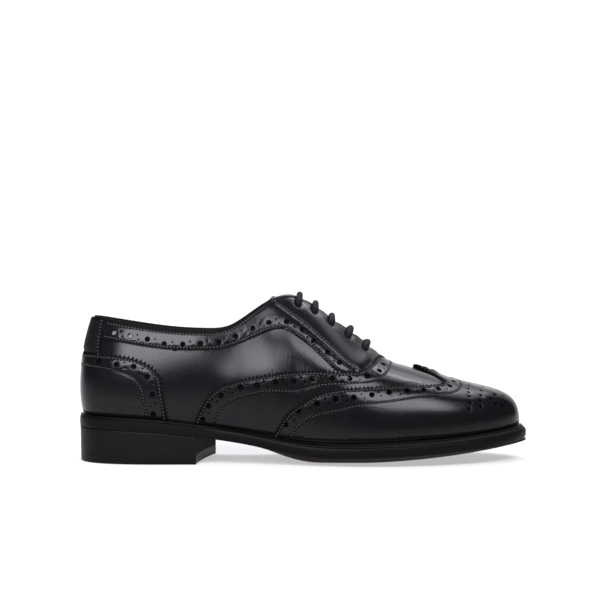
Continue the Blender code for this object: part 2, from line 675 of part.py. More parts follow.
def make_facings_and_bands():
    """On each side, the facing with its eyelets and the band along the collar and facing."""
    line = curve_through(FACING_LINE)
    vamp = curve_through(VAMP_EDGE)
    behind = moved_left(vamp, -PANEL_GAP)
    stop = FACING_LINE[-1][0] * FLAT_STATION
    front = behind[(behind[:, 0] > stop) & (behind[:, 1] > 2 * TOP * FLAT_GIRTH)]
    throat = curve_through(((front[-1][0] / FLAT_STATION, TOP), (FACING_LINE[0][0], TOP)))
    facing = joined(line, front, throat)
    under = moved_left(line, PANEL_GAP)
    lower = curve_through(BAND_EDGE)
    rim = curve_through(((under[0][0] / FLAT_STATION - 0.3, TOP), (BAND_EDGE[0][0], TOP)))
    side = curve_through((BAND_EDGE[0], (BAND_EDGE[0][0], TOP)))
    band = joined(lower, under[::-1], rim, side[::-1])
    for name, sign in (("outer", 1), ("inner", -1)):
        overlay("facing_" + name, facing * (sign, 1), round_heel, FACING_TOP, FACING_SEAT)
        overlay("topline_band_" + name, band * (sign, 1), round_heel, BAND_TOP)


# Tongue, from its seam under the vamp up to its top: station, depth under the upper's outer
# face, and half its width down each side
TONGUE_ROWS = ((69.5, 2.4, 14.0), (66.5, 3.6, 15.5), (64.2, 6.5, 17.0), (58.0, 6.5, 19.0),
               (52.0, 6.5, 21.0), (48.6, 6.3, 21.0), (47.1, 4.6, 19.0), (45.8, 3.2, 15.0))
TONGUE_STEPS = 2
TONGUE_SHARES = (1.0, 0.66, 0.33)


def tongue_row(station, depth, half):
    """Points across the tongue at one station, from outer side to inner."""
    sides = []
    tops = []
    for loop in (station, LOOP - station):
        heights = [down_rib(loop, half * share) for share in TONGUE_SHARES]
        sides.append(lifted([loop] * len(heights), heights, -depth))
        tops.append(lifted([loop], [1.0], -depth))
    middle = (tops[0] + tops[1]) / 2
    middle[:, 2] += TONGUE_CROWN * abs(tops[0][0, 1] - tops[1][0, 1]) / 2
    return np.concatenate((sides[0], middle, sides[1][::-1]))


def make_tongue():
    """Curved leather sheet under the facings, seated under the vamp at its lower end."""
    rows = np.array(TONGUE_ROWS)
    where = np.arange(len(rows))
    fine = np.linspace(0, len(rows) - 1, (len(rows) - 1) * TONGUE_STEPS + 1)
    values = np.stack([np.interp(fine, where, column) for column in rows.T], axis=1)
    outer = np.array([tongue_row(*value) for value in values])
    inner = np.array([tongue_row(value[0], value[1] + TONGUE_THICK, value[2]) for value in values])
    long, wide = outer.shape[:2]
    points = np.concatenate((outer.reshape(-1, 3), inner.reshape(-1, 3)))
    lower = long * wide
    faces = []
    for i in range(long - 1):
        for j in range(wide - 1):
            quad = (i * wide + j, i * wide + j + 1, (i + 1) * wide + j + 1, (i + 1) * wide + j)
            faces.append(quad)
            faces.append(tuple(lower + corner for corner in reversed(quad)))
    rim = [i * wide for i in range(long)] + [(long - 1) * wide + j for j in range(1, wide)]
    rim += [i * wide + wide - 1 for i in range(long - 2, -1, -1)] + list(range(wide - 2, 0, -1))
    faces += [(a, b, lower + b, lower + a) for a, b in zip(rim, rim[1:] + rim[:1])]
    return add_mesh("tongue", points, faces, BLACK_CALF)


def eyelet_stations():
    """Stations of the eyelets, evenly spaced along the throat's edge."""
    stations = np.linspace(45, 70, 300)
    ridge = RIBS(stations)[:, 0]
    return np.interp(FIRST_EYELET + EYELET_PITCH * np.arange(EYELETS), ridge, stations)


EYELET_STATIONS = eyelet_stations()


def beside_throat(station, side, down, offset):
    """Point on one facing, a distance below the throat's edge, at an offset from the wall."""
    loop = station if side < 0 else LOOP - station
    return lifted([loop], [down_rib(loop, down)], offset)[0]


def lace_route():
    """Points of the lace: bar by bar down the throat, then back up under the inner facing."""
    route = []
    for index, station in enumerate(EYELET_STATIONS):
        start = -1 if index % 2 == 0 else 1
        for side, steps in ((start, LACE_RISE), (-start, LACE_RISE[::-1])):
            route += [beside_throat(station + LACE_LEAN * back, side, EYELET_DOWN - back, offset)
                      for back, offset in steps]
        if index + 1 < EYELETS:
            ahead = EYELET_STATIONS[index + 1]
            for share, offset in LACE_STEP:
                between = station + (ahead - station) * share
                route.append(beside_throat(between, -start, EYELET_DOWN, offset))
    last = EYELET_STATIONS[-1]
    for share in np.linspace(0.08, 1.0, 8):
        back = last + (EYELET_STATIONS[0] - last) * share
        down = EYELET_DOWN + (RETURN_DOWN - EYELET_DOWN) * min(1.0, share * 4)
        route.append(beside_throat(back, 1, down, LACE_UNDER))
    return np.array(route)


def even_points(route, pitch):
    """Smooth curve through the route, read at an even pitch."""
    padded = np.concatenate((2 * route[:1] - route[1:2], route, 2 * route[-1:] - route[-2:-1]))
    b = np.linspace(0, 1, 12, endpoint=False)[:, None]
    fine = []
    for p0, p1, p2, p3 in zip(padded, padded[1:], padded[2:], padded[3:]):
        fine.extend(0.5 * (2 * p1 + (p2 - p0) * b + (2 * p0 - 5 * p1 + 4 * p2 - p3) * b ** 2
                           + (3 * p1 - p0 - 3 * p2 + p3) * b ** 3))
    fine = np.array(fine + [route[-1]])
    reach = np.append(0, np.cumsum(np.linalg.norm(np.diff(fine, axis=0), axis=1)))
    even = np.linspace(0, reach[-1], round(reach[-1] / pitch) + 1)
    return np.stack([np.interp(even, reach, column) for column in fine.T], axis=1)


def make_lace():
    """One round cord through all the eyelets."""
    points = to_frame(even_points(lace_route(), LACE_PITCH))
    curve = bpy.data.curves.new("lace", "CURVE")
    curve.dimensions = "3D"
    curve.bevel_depth = LACE_RADIUS * MM
    curve.bevel_resolution = 1
    curve.use_fill_caps = True
    spline = curve.splines.new("POLY")
    spline.points.add(len(points) - 1)
    for slot, point in zip(spline.points, points):
        slot.co = (*point, 1.0)
    curve.materials.append(BLACK_CORD)
    bpy.context.collection.objects.link(bpy.data.objects.new("lace", curve))


def punch_eyelets():
    """Cut the eyelet holes through each facing and the wall behind it."""
    work = bmesh.new()
    for station in EYELET_STATIONS:
        for side in (-1, 1):
            inside = Vector(to_frame(beside_throat(station, side, EYELET_DOWN, -PUNCH_REACH)))
            outside = Vector(to_frame(beside_throat(station, side, EYELET_DOWN, PUNCH_REACH)))
            made = bmesh.ops.create_cone(work, cap_ends=True, segments=8, radius1=EYELET_RADIUS * MM,
                                         radius2=EYELET_RADIUS * MM, depth=(outside - inside).length)
            turn = (outside - inside).to_track_quat("Z", "Y").to_matrix()
            bmesh.ops.rotate(work, verts=made["verts"], cent=(0, 0, 0), matrix=turn)
            bmesh.ops.translate(work, verts=made["verts"], vec=(inside + outside) / 2)
    mesh = bpy.data.meshes.new("eyelet_punch")
    work.to_mesh(mesh)
    work.free()
    punch = bpy.data.objects.new("eyelet_punch", mesh)
    punch.hide_render = True
    punch.display_type = "WIRE"
    bpy.context.collection.objects.link(punch)
    for name in ("upper", "facing_outer", "facing_inner"):
        cut = bpy.data.objects[name].modifiers.new("eyelets", "BOOLEAN")
        cut.operation = "DIFFERENCE"
        cut.object = punch


make_outsole()
make_midsole()
make_welt()
make_insole()
make_heel()
make_upper()
make_wing_cap()
make_vamp_panel()
make_counter_and_strip()
make_facings_and_bands()
make_tongue()
make_lace()
punch_eyelets()
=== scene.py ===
# %% [markdown]
# # A black wingtip shoe
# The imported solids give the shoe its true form. This lesson dresses them: every leather piece is
# cut again from the same last, finely enough for pinked edges, punched holes and stitches to be
# real geometry. Loading the frame first means that each piece lands where its solid is.

# %% Load the frame
import math
from typing import NamedTuple

import bmesh
import bpy
import numpy as np
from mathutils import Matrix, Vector, kdtree
from mathutils.geometry import delaunay_2d_cdt


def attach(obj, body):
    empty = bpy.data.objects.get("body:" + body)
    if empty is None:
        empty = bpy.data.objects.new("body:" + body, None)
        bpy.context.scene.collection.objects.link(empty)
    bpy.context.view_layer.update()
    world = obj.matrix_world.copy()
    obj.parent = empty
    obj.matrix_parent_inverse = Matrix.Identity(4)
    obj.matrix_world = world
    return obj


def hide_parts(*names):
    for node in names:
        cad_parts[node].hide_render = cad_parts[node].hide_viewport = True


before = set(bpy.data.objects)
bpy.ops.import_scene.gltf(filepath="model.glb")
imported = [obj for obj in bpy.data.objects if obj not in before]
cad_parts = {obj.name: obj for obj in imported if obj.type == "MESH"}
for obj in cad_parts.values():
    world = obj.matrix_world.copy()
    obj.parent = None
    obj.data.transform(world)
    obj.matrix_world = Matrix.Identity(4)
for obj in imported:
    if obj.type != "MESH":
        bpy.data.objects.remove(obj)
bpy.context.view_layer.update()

# %% [markdown]
# ## Sizes
# The shoe is laid out in millimetres, with X from the heel's back to the toe, the outer side of the
# foot at -Y and the floor at Z 0. One row of the table is one pair of ribs of the last, so the whole
# upper follows from sixteen rows. These are the sizes that the solids were made from.

# %% Sizes of the last
MM = 0.001
LENGTH = 301.4
BALL_WIDTH = 100.0
INSTEP = 110.0
WALL = 2.0
SEAM_GAP = 0.3


class Rib(NamedTuple):
    """One pair of ribs. Stations are percent of LENGTH, widths and heights as each line says."""

    name: str
    foot: float      # bottom edge, percent of LENGTH from the back
    lateral: float   # bottom edge to middle line, outer side, percent of BALL_WIDTH
    medial: float    # the same on the inner side
    seat: float      # height of the bottom edge, mm
    margin: float    # sole edge outside the bottom edge, mm
    lip: float       # drop of the welt's bevel, mm
    top: float       # collar, throat or ridge, percent of LENGTH
    middle: float    # its middle line, mm from the shoe's
    height: float    # its height, percent of INSTEP
    gap: float       # half the opening there, mm
    rise: float      # lower handle upwards, mm
    swell: float     # lower handle outwards, mm
    arch: float      # extra swell on the inner side, mm
    shoulder: float  # upper handle outwards, mm
    drop: float      # upper handle downwards, mm


RIBS_OF_LAST = (
    #   name          foot  lat   med   seat  marg lip  top   mid  height gap  rise  sw   ar   sho   dr
    Rib("heel back",   1.4, 0.0,  0.0,  31.4, 3.4, 0.4,  3.4,  0.0, 87.3, 0.0, 18.6, 5.0, 0.0,  6.9, 20.0),
    Rib("heel turn",   3.6, 17.5, 17.5, 31.2, 3.4, 0.4,  4.7,  0.0, 86.7, 11.5, 18.6, 5.2, 0.0, 6.5, 20.0),
    Rib("heel side",  10.3, 28.3, 28.0, 30.5, 3.4, 0.4, 10.3,  0.0, 84.0, 21.0, 18.0, 5.2, 0.0, 5.5, 19.0),
    Rib("counter",    19.4, 31.0, 30.0, 28.9, 3.2, 0.4, 19.2,  0.0, 80.4, 25.5, 17.0, 4.6, 0.0, 4.5, 18.0),
    Rib("seat",       29.2, 31.0, 27.5, 25.5, 3.0, 0.4, 27.5, -0.5, 79.0, 26.5, 17.0, 4.0, 1.5, 4.5, 18.0),
    Rib("waist",      38.2, 33.0, 24.5, 21.6, 3.0, 0.6, 34.8, -1.0, 82.7, 23.5, 18.0, 3.5, 4.0, 6.0, 20.0),
    Rib("instep",     45.8, 36.0, 25.5, 17.6, 3.4, 1.1, 42.1, -1.5, 96.3, 14.5, 24.0, 3.2, 4.5, 13.0, 17.0),
    Rib("throat top", 52.1, 40.0, 29.5, 15.6, 4.4, 1.6, 48.8, -1.5, 100.2, 4.0, 31.0, 3.1, 3.0, 18.5, 12.0),
    Rib("throat",     59.4, 43.8, 37.5, 15.3, 5.2, 1.8, 57.7, -0.5, 83.9, 2.0, 30.0, 2.9, 1.0, 22.5, 8.0),
    Rib("throat end", 66.4, 45.3, 43.8, 16.0, 5.6, 1.8, 66.3,  1.0, 62.6, 0.0, 25.5, 2.7, 0.0, 29.5, 0.0),
    Rib("ball",       73.0, 43.5, 45.5, 16.9, 5.6, 1.8, 72.7,  2.0, 56.0, 0.0, 23.5, 2.5, 0.0, 32.0, 0.0),
    Rib("vamp",       80.3, 38.0, 42.3, 18.1, 5.8, 1.8, 78.0,  3.0, 51.5, 0.0, 21.0, 2.3, 0.0, 31.0, 0.0),
    Rib("toe box",    87.6, 28.5, 35.5, 19.8, 6.0, 1.8, 82.1,  3.8, 48.4, 0.0, 19.2, 2.1, 0.0, 28.5, 0.0),
    Rib("toe corner", 93.9, 16.0, 25.5, 21.8, 6.2, 1.8, 85.2,  4.3, 46.3, 0.0, 18.0, 1.5, 0.0, 27.5, 0.0),
    Rib("toe turn",   96.7, 6.0,  16.5, 22.9, 6.4, 1.8, 86.6,  4.6, 45.3, 0.0, 17.3, 0.9, 0.0, 27.0, 0.0),
    Rib("toe tip",    97.8, -5.3, 5.3,  23.3, 6.5, 1.8, 87.1,  4.7, 45.0, 0.0, 17.5, 0.4, 0.0, 26.5, 0.0),
)
THROAT_ROW = 8
THROAT_END_ROW = 9
TIP = 100.0
LOOP = 2 * TIP
LAST = len(RIBS_OF_LAST) - 1
print("ribs", len(RIBS_OF_LAST), "from", RIBS_OF_LAST[0].name, "to", RIBS_OF_LAST[-1].name)

# %% [markdown]
# ## The last as a function
# A smooth closed spline through the table gives a rib at any place round the shoe, and each rib is one
# cubic curve from the sole's edge to the collar, throat or vamp ridge. So a point of the leather has
# two numbers: a loop number round the shoe, and a height t from 0 at the bottom to 1 at the top.

# %% Spline through the ribs
class ClosedSpline:
    """Smooth closed curve of any number of columns through values at rising knots."""

    def __init__(self, knots, values):
        self.knots = np.asarray(knots, float)
        self.values = np.asarray(values, float)
        self.gaps = np.diff(np.append(self.knots, self.knots[0] + LOOP))
        before = np.roll(self.gaps, 1)
        count = len(self.knots)
        slopes = (np.roll(self.values, -1, axis=0) - self.values) / self.gaps[:, None]
        row = np.arange(count)
        matrix = np.zeros((count, count))
        matrix[row, row] = 2 * (self.gaps + before)
        matrix[row, (row + 1) % count] = self.gaps
        matrix[row, (row - 1) % count] = before
        self.bends = np.linalg.solve(matrix, 6 * (slopes - np.roll(slopes, 1, axis=0)))

    def __call__(self, where):
        where = np.mod(where, LOOP)
        index = np.searchsorted(self.knots, where, side="right") - 1
        after = (index + 1) % len(self.knots)
        gap = self.gaps[index][:, None]
        b = (where - self.knots[index])[:, None] / gap
        a = 1 - b
        straight = a * self.values[index] + b * self.values[after]
        bend = (a ** 3 - a) * self.bends[index] + (b ** 3 - b) * self.bends[after]
        return straight + bend * gap ** 2 / 6


def smoothstep(x):
    """Soft step from 0 to 1 as x goes from 0 to 1."""
    x = np.clip(x, 0.0, 1.0)
    return x * x * (3 - 2 * x)


def unit(vectors):
    """The same directions at length 1."""
    return vectors / np.linalg.norm(vectors, axis=1)[:, None]


def reach_along(points):
    """Distance of each point from the first, along the line through them."""
    return np.append(0, np.cumsum(np.linalg.norm(np.diff(points, axis=0), axis=1)))


def read_rows(where, knots, rows):
    """Rows of numbers read between rising knots."""
    return np.stack([np.interp(where, knots, column) for column in rows.T], axis=1)


def station_of(loop):
    """Station, 0 at the heel to 100 at the toe, of loop numbers on either side."""
    loop = np.mod(loop, LOOP)
    return np.minimum(loop, LOOP - loop)


def foot_point(rib, side):
    """Bottom edge of one rib; side is -1 on the outer side and +1 on the inner."""
    width = rib.medial if side > 0 else rib.lateral
    return np.array((rib.foot * LENGTH, side * width * BALL_WIDTH, rib.seat * 100)) / 100


def rib_stations():
    """Station of each rib, 0 at the heel to 100 at the toe, by distance along the edge."""
    reach = [0.0]
    for here, ahead in zip(RIBS_OF_LAST, RIBS_OF_LAST[1:]):
        steps = [np.linalg.norm(foot_point(ahead, side) - foot_point(here, side)) for side in (-1, 1)]
        reach.append(reach[-1] + sum(steps) / 2)
    return TIP * np.array(reach) / reach[-1]


STATIONS = rib_stations()
ROUND = [(row, -1) for row in range(LAST + 1)] + [(row, 1) for row in range(LAST - 1, 0, -1)]
KNOTS = [STATIONS[row] if side < 0 else LOOP - STATIONS[row] for row, side in ROUND]
FOOT = ClosedSpline(KNOTS, [foot_point(RIBS_OF_LAST[row], side) for row, side in ROUND])
SOLE_SIZES = ClosedSpline(KNOTS, [(RIBS_OF_LAST[row].margin, RIBS_OF_LAST[row].lip)
                                  for row, side in ROUND])
LOOP_STEP = 0.05
HEIGHT_STEP = 0.003
BELOW_RIDGE = 0.98


def outward(loop):
    """Level unit vectors that point out of the shoe, square to its bottom edge."""
    along = FOOT(loop + LOOP_STEP) - FOOT(loop - LOOP_STEP)
    return unit(np.stack((along[:, 1], -along[:, 0], np.zeros(len(along))), axis=1))


def ridge_slope(row):
    """Fall of the vamp's ridge at a rib, so both sides leave the ridge in one plane."""
    if row < THROAT_END_ROW:
        return 0.0
    back = RIBS_OF_LAST[row - 1]
    ahead = RIBS_OF_LAST[min(row + 1, LAST)]
    return (ahead.height - back.height) * INSTEP / ((ahead.top - back.top) * LENGTH)


def rib_row(row, side, out):
    """Top point, opening and both handles of one rib, as one row of numbers."""
    rib = RIBS_OF_LAST[row]
    top = (rib.top * LENGTH / 100, rib.middle, rib.height * INSTEP / 100)
    swell = rib.swell + (rib.arch if side > 0 else 0.0)
    low = out * swell + np.array((0, 0, rib.rise))
    high = out * rib.shoulder
    high[2] = ridge_slope(row) * high[0] - rib.drop
    return np.concatenate((top, (side * rib.gap,), low, high))


RIBS = ClosedSpline(KNOTS, [rib_row(row, side, out) for (row, side), out
                            in zip(ROUND, outward(np.array(KNOTS)))])


def skin(loop, t):
    """Points of the upper's outer face at loop numbers and heights."""
    foot = FOOT(loop)
    ribs = RIBS(loop)
    throat = STATIONS[THROAT_ROW]
    closed = smoothstep((station_of(loop) - throat) / (STATIONS[THROAT_END_ROW] - throat))
    top = ribs[:, :3].copy()
    top[:, 1] += ribs[:, 3] * (1 - closed)
    low = foot + ribs[:, 4:7]
    high = top + ribs[:, 7:10]
    t = t[:, None]
    u = 1 - t
    return u ** 3 * foot + 3 * u * u * t * low + 3 * u * t * t * high + t ** 3 * top


def skin_normal(loop, t):
    """Unit vectors square to the upper's face, pointing out."""
    below = np.minimum(t, BELOW_RIDGE)
    along = skin(loop + LOOP_STEP, below) - skin(loop - LOOP_STEP, below)
    up = skin(loop, np.minimum(t + HEIGHT_STEP, 1)) - skin(loop, np.maximum(t - HEIGHT_STEP, 0))
    return unit(np.cross(along, up))


def outline(loop, distance):
    """Bottom edge of the upper, moved outwards in plan by a distance in mm."""
    return FOOT(loop) + outward(loop) * np.reshape(distance, (-1, 1))


EDGE_POINTS = 480
EDGE_LOOP = np.linspace(0, LOOP, EDGE_POINTS, endpoint=False)
MARGIN, LIP = SOLE_SIZES(EDGE_LOOP).T
SOLE_EDGE = outline(EDGE_LOOP, MARGIN)
FRAME_X, FRAME_Y = (SOLE_EDGE.min(axis=0) + SOLE_EDGE.max(axis=0))[:2] / 2


def to_frame(points):
    """Millimetres from the heel's back to metres from the middle of the shoe's footprint."""
    return (np.asarray(points, float) - (FRAME_X, FRAME_Y, 0.0)) * MM


print("sole edge", np.ptp(SOLE_EDGE, axis=0).round(1), "mm")

# %% [markdown]
# ## Camera and studio
# The photo is a product shot: the outer side from straight across, with a long lens, on a white sweep.
# The camera's place and lens come from the shoe's size in the picture. The sweep is a floor that curves
# up behind, so that no horizon shows. Black leather shows little but reflections, so each softbox is
# placed by what it leaves there: a small one for the quarter, one for the toe and one for the ridge. A
# fourth light brightens the sweep behind the shoe.

# %% Camera and sweep
CAMERA_AT = (148.5, -882.0, 106.8)
FOCAL_PIXELS = 1309.8
PICTURE = 600
SENSOR = 36.0
camera_data = bpy.data.cameras.new("camera")
camera_data.sensor_width = SENSOR
camera_data.lens = FOCAL_PIXELS / PICTURE * SENSOR
camera_data.clip_start = 0.01
camera = bpy.data.objects.new("camera", camera_data)
camera.location = to_frame(CAMERA_AT)
camera.rotation_euler = (math.pi / 2, 0, 0)
bpy.context.scene.collection.objects.link(camera)
bpy.context.scene.camera = camera
bpy.context.scene.view_settings.view_transform = "Standard"

SWEEP_WIDE = 6.0
SWEEP_FRONT = -2.5
SWEEP_BACK = 1.6
SWEEP_BEND = 0.9
SWEEP_HIGH = 3.0
BEND_STEPS = 24
PAPER_GREY = 0.27
PAPER_GLOW = 0.48


def make_sweep():
    """Pale floor that bends up into a backdrop; a little glow keeps its shadows light."""
    turn = np.linspace(0, math.pi / 2, BEND_STEPS)
    curve = [(SWEEP_BACK + SWEEP_BEND * math.sin(a), SWEEP_BEND * (1 - math.cos(a))) for a in turn]
    profile = [(SWEEP_FRONT, 0.0)] + curve + [(SWEEP_BACK + SWEEP_BEND, SWEEP_HIGH)]
    points = [(x, y, z) for x in (-SWEEP_WIDE / 2, SWEEP_WIDE / 2) for y, z in profile]
    count = len(profile)
    faces = [(i, count + i, count + i + 1, i + 1) for i in range(count - 1)]
    mesh = bpy.data.meshes.new("sweep")
    mesh.from_pydata(points, [], faces)
    mesh.shade_smooth()
    paper = bpy.data.materials.new("white_paper")
    paper.use_nodes = True
    shader = paper.node_tree.nodes["Principled BSDF"]
    shader.inputs["Base Color"].default_value = (PAPER_GREY, PAPER_GREY, PAPER_GREY, 1)
    shader.inputs["Roughness"].default_value = 0.9
    shader.inputs["Specular IOR Level"].default_value = 0.1
    shader.inputs["Emission Color"].default_value = (1.0, 1.0, 1.0, 1)
    shader.inputs["Emission Strength"].default_value = PAPER_GLOW
    mesh.materials.append(paper)
    sweep = bpy.data.objects.new("sweep", mesh)
    bpy.context.scene.collection.objects.link(sweep)


LIGHT_COLOUR = (0.935, 0.92, 1.0)
ROOM_COLOUR = (0.9, 0.93, 1.0, 1)
ROOM_LIGHT = 0.05


def add_softbox(name, place, aim, size, power):
    """Rectangular area light at a place, turned to what it lights."""
    light = bpy.data.lights.new(name, "AREA")
    light.shape = "RECTANGLE"
    light.size, light.size_y = size
    light.energy = power
    light.color = LIGHT_COLOUR
    lamp = bpy.data.objects.new(name, light)
    lamp.visible_camera = False
    lamp.location = place
    lamp.rotation_euler = (Vector(aim) - Vector(place)).to_track_quat("-Z", "Y").to_euler()
    bpy.context.scene.collection.objects.link(lamp)


make_sweep()
add_softbox("side_softbox", (-0.22, -0.36, 0.285), (-0.22, 0.0, 0.285), (0.28, 0.235), 4.1)
add_softbox("toe_softbox", (0.55, -0.92, 1.15), (0.07, 0.0, 0.06), (1.2, 0.62), 40.0)
add_softbox("top_softbox", (0.3, 0.8, 1.65), (0.3, 0.799, 0.0), (1.9, 1.4), 38.0)
add_softbox("backdrop_light", (0.0, 0.9, 2.2), (0.0, 2.5, 0.9), (2.4, 0.6), 110.0)
world = bpy.data.worlds.new("room")
world.use_nodes = True
room = world.node_tree.nodes["Background"]
room.inputs["Color"].default_value = ROOM_COLOUR
room.inputs["Strength"].default_value = ROOM_LIGHT
bpy.context.scene.world = world
print("camera", [round(v, 3) for v in camera.location], "lens", round(camera_data.lens, 1))

# %% [markdown]
# ## Leather finishes
# Black calf is nearly black, but its fine pores and uneven polish break up the light. Three effects do
# that: pores, a slow mottle of the polish, and a faint change of tone. They are one node group, so each
# leather places it with its own pore size and depth. Shaders stay in the materials.

# %% Node group for leather grain
def new_group(name, inputs, outputs):
    """Empty shader node group with named sockets; inputs hold (name, socket type, start value)."""
    group = bpy.data.node_groups.new(name, "ShaderNodeTree")
    for label, kind, value in inputs:
        socket = group.interface.new_socket(name=label, in_out="INPUT", socket_type=kind)
        socket.default_value = value
    for label, kind in outputs:
        group.interface.new_socket(name=label, in_out="OUTPUT", socket_type=kind)
    return group, group.nodes.new("NodeGroupInput").outputs, group.nodes.new("NodeGroupOutput").inputs


def feed(tree, socket, value):
    """Give a node's input a plain number, or a link from another node's output."""
    if isinstance(value, (int, float)):
        socket.default_value = value
    else:
        tree.links.new(value, socket)


def math_node(tree, operation, first, second):
    """Math node with sockets or plain numbers as its two inputs."""
    node = tree.nodes.new("ShaderNodeMath")
    node.operation = operation
    feed(tree, node.inputs[0], first)
    feed(tree, node.inputs[1], second)
    return node.outputs[0]


def noise_node(tree, vector, scale, detail):
    """Noise over a position; scale, per metre, and detail are sockets or plain numbers."""
    node = tree.nodes.new("ShaderNodeTexNoise")
    tree.links.new(vector, node.inputs["Vector"])
    feed(tree, node.inputs["Scale"], scale)
    feed(tree, node.inputs["Detail"], detail)
    return node.outputs["Fac"]


# A mix node has a set of sockets for each kind of value; these are the colour ones
MIX_FIRST_COLOUR = 6
MIX_COLOUR_RESULT = 2


def mixed_colour(tree, share, first, second):
    """Mix of two colour sockets by a share from 0 to 1."""
    node = tree.nodes.new("ShaderNodeMix")
    node.data_type = "RGBA"
    tree.links.new(share, node.inputs[0])
    tree.links.new(first, node.inputs[MIX_FIRST_COLOUR])
    tree.links.new(second, node.inputs[MIX_FIRST_COLOUR + 1])
    return node.outputs[MIX_COLOUR_RESULT]


PORE_SOFTNESS = 0.6
LUMP_SCALE = 0.35
LUMP_SHARE = 0.8
LUMP_DETAIL = 3.0
POLISH_SCALE = 55.0
POLISH_DETAIL = 4.0
TONE_SCALE = 120.0
TONE_DETAIL = 5.0


def make_grain_group():
    """Pores, polish and tone of leather, from a position on the shoe."""
    group, given, result = new_group(
        "leather_grain",
        (("Colour", "NodeSocketColor", (0.01, 0.01, 0.012, 1)),
         ("Light Colour", "NodeSocketColor", (0.02, 0.02, 0.02, 1)),
         ("Pores per Metre", "NodeSocketFloat", 2200.0),
         ("Pore Depth", "NodeSocketFloat", 0.5),
         ("Base Roughness", "NodeSocketFloat", 0.35),
         ("Polish Change", "NodeSocketFloat", 0.12)),
        (("Colour", "NodeSocketColor"), ("Roughness", "NodeSocketFloat"), ("Height", "NodeSocketFloat")))
    place = group.nodes.new("ShaderNodeTexCoord").outputs["Object"]
    per_metre = given["Pores per Metre"]
    pores = group.nodes.new("ShaderNodeTexVoronoi")
    pores.feature = "SMOOTH_F1"
    pores.inputs["Smoothness"].default_value = PORE_SOFTNESS
    group.links.new(place, pores.inputs["Vector"])
    group.links.new(per_metre, pores.inputs["Scale"])
    lump_scale = math_node(group, "MULTIPLY", per_metre, LUMP_SCALE)
    lumps = math_node(group, "MULTIPLY", noise_node(group, place, lump_scale, LUMP_DETAIL), LUMP_SHARE)
    mixed = math_node(group, "ADD", pores.outputs["Distance"], lumps)
    group.links.new(math_node(group, "MULTIPLY", mixed, given["Pore Depth"]), result["Height"])
    polish = math_node(group, "SUBTRACT", noise_node(group, place, POLISH_SCALE, POLISH_DETAIL), 0.5)
    change = math_node(group, "MULTIPLY", polish, given["Polish Change"])
    group.links.new(math_node(group, "ADD", given["Base Roughness"], change), result["Roughness"])
    tone = noise_node(group, place, TONE_SCALE, TONE_DETAIL)
    colour = mixed_colour(group, tone, given["Colour"], given["Light Colour"])
    group.links.new(colour, result["Colour"])
    return group


GRAIN = make_grain_group()
print("grain group sockets", [socket.name for socket in GRAIN.interface.items_tree])

# %% [markdown]
# ## Materials from a group
# A material places the group, gives it values of its own and joins what comes out to the shader: colour
# to colour, height through a bump to the normal. Numbers that are the same all over are set on the
# shader itself. The heel's rubber uses the same group, because it is also black with a fine uneven face.

# %% Leathers
BUMP_DEPTH = 0.0001
LEATHER_BUMP = 0.35


def material_from(name, group, values, strength):
    """Material whose colour and fine relief come from a node group with these values."""
    material = bpy.data.materials.new(name)
    material.use_nodes = True
    tree = material.node_tree
    shader = tree.nodes["Principled BSDF"]
    effect = tree.nodes.new("ShaderNodeGroup")
    effect.node_tree = group
    for socket, value in zip(effect.inputs, values):
        socket.default_value = value
    bump = tree.nodes.new("ShaderNodeBump")
    bump.inputs["Strength"].default_value = strength
    bump.inputs["Distance"].default_value = BUMP_DEPTH
    targets = {"Colour": shader.inputs["Base Color"], "Roughness": shader.inputs["Roughness"],
               "Height": bump.inputs["Height"]}
    for output in effect.outputs:
        tree.links.new(output, targets[output.name])
    tree.links.new(bump.outputs["Normal"], shader.inputs["Normal"])
    return material, shader


def leather(name, colour, light, pores, depth, roughness, change, specular):
    """Leather material with its own pore size and depth, roughness and change of polish."""
    values = ((*colour, 1), (*light, 1), pores, depth, roughness, change)
    material, shader = material_from(name, GRAIN, values, LEATHER_BUMP)
    shader.inputs["Specular IOR Level"].default_value = specular
    material.diffuse_color = (*colour, 1)
    return material


CALF = leather("black_calf", (0.0026, 0.0026, 0.003), (0.0046, 0.0046, 0.0053),
               pores=1500.0, depth=1.3, roughness=0.165, change=0.06, specular=0.15)
STRIP_CALF = leather("strip_calf", (0.002, 0.002, 0.0022), (0.005, 0.005, 0.0052),
                     pores=800.0, depth=3.0, roughness=0.5, change=0.2, specular=0.08)
# Dark finish of the cut edge; on top faces along edges and stitch grooves it is painted shade
RAW_EDGE_AND_SHADE = leather("cut_edge_and_painted_shade", (0.0014, 0.0014, 0.0015), (0.0026, 0.0026, 0.0026),
                   pores=2600.0, depth=0.8, roughness=0.6, change=0.12, specular=0.03)
# Painted shade: dead black, matte finish for the wall seen through punched holes
HOLE_SHADE = leather("hole_painted_shade", (0.001, 0.001, 0.001), (0.002, 0.002, 0.002),
                  pores=2600.0, depth=0.4, roughness=0.9, change=0.05, specular=0.03)
LINING = leather("grey_lining", (0.30, 0.288, 0.275), (0.37, 0.355, 0.335),
                 pores=1300.0, depth=0.6, roughness=0.6, change=0.1, specular=0.5)
SOLE_SIDE = leather("inked_edge", (0.0022, 0.0022, 0.0024), (0.0038, 0.0036, 0.0037),
                    pores=900.0, depth=0.5, roughness=0.42, change=0.14, specular=0.05)
HEEL_SIDE = leather("inked_heel", (0.003, 0.003, 0.0033), (0.005, 0.0048, 0.0048),
                    pores=900.0, depth=0.5, roughness=0.42, change=0.14, specular=0.06)
SOLE_UNDER = leather("brown_sole", (0.0055, 0.0028, 0.002), (0.011, 0.0052, 0.0036),
                     pores=700.0, depth=0.5, roughness=0.6, change=0.2, specular=0.06)
HEEL_BREAST = leather("heel_breast", (0.0045, 0.002, 0.0014), (0.009, 0.0038, 0.0026),
                      pores=700.0, depth=0.6, roughness=0.7, change=0.2, specular=0.03)
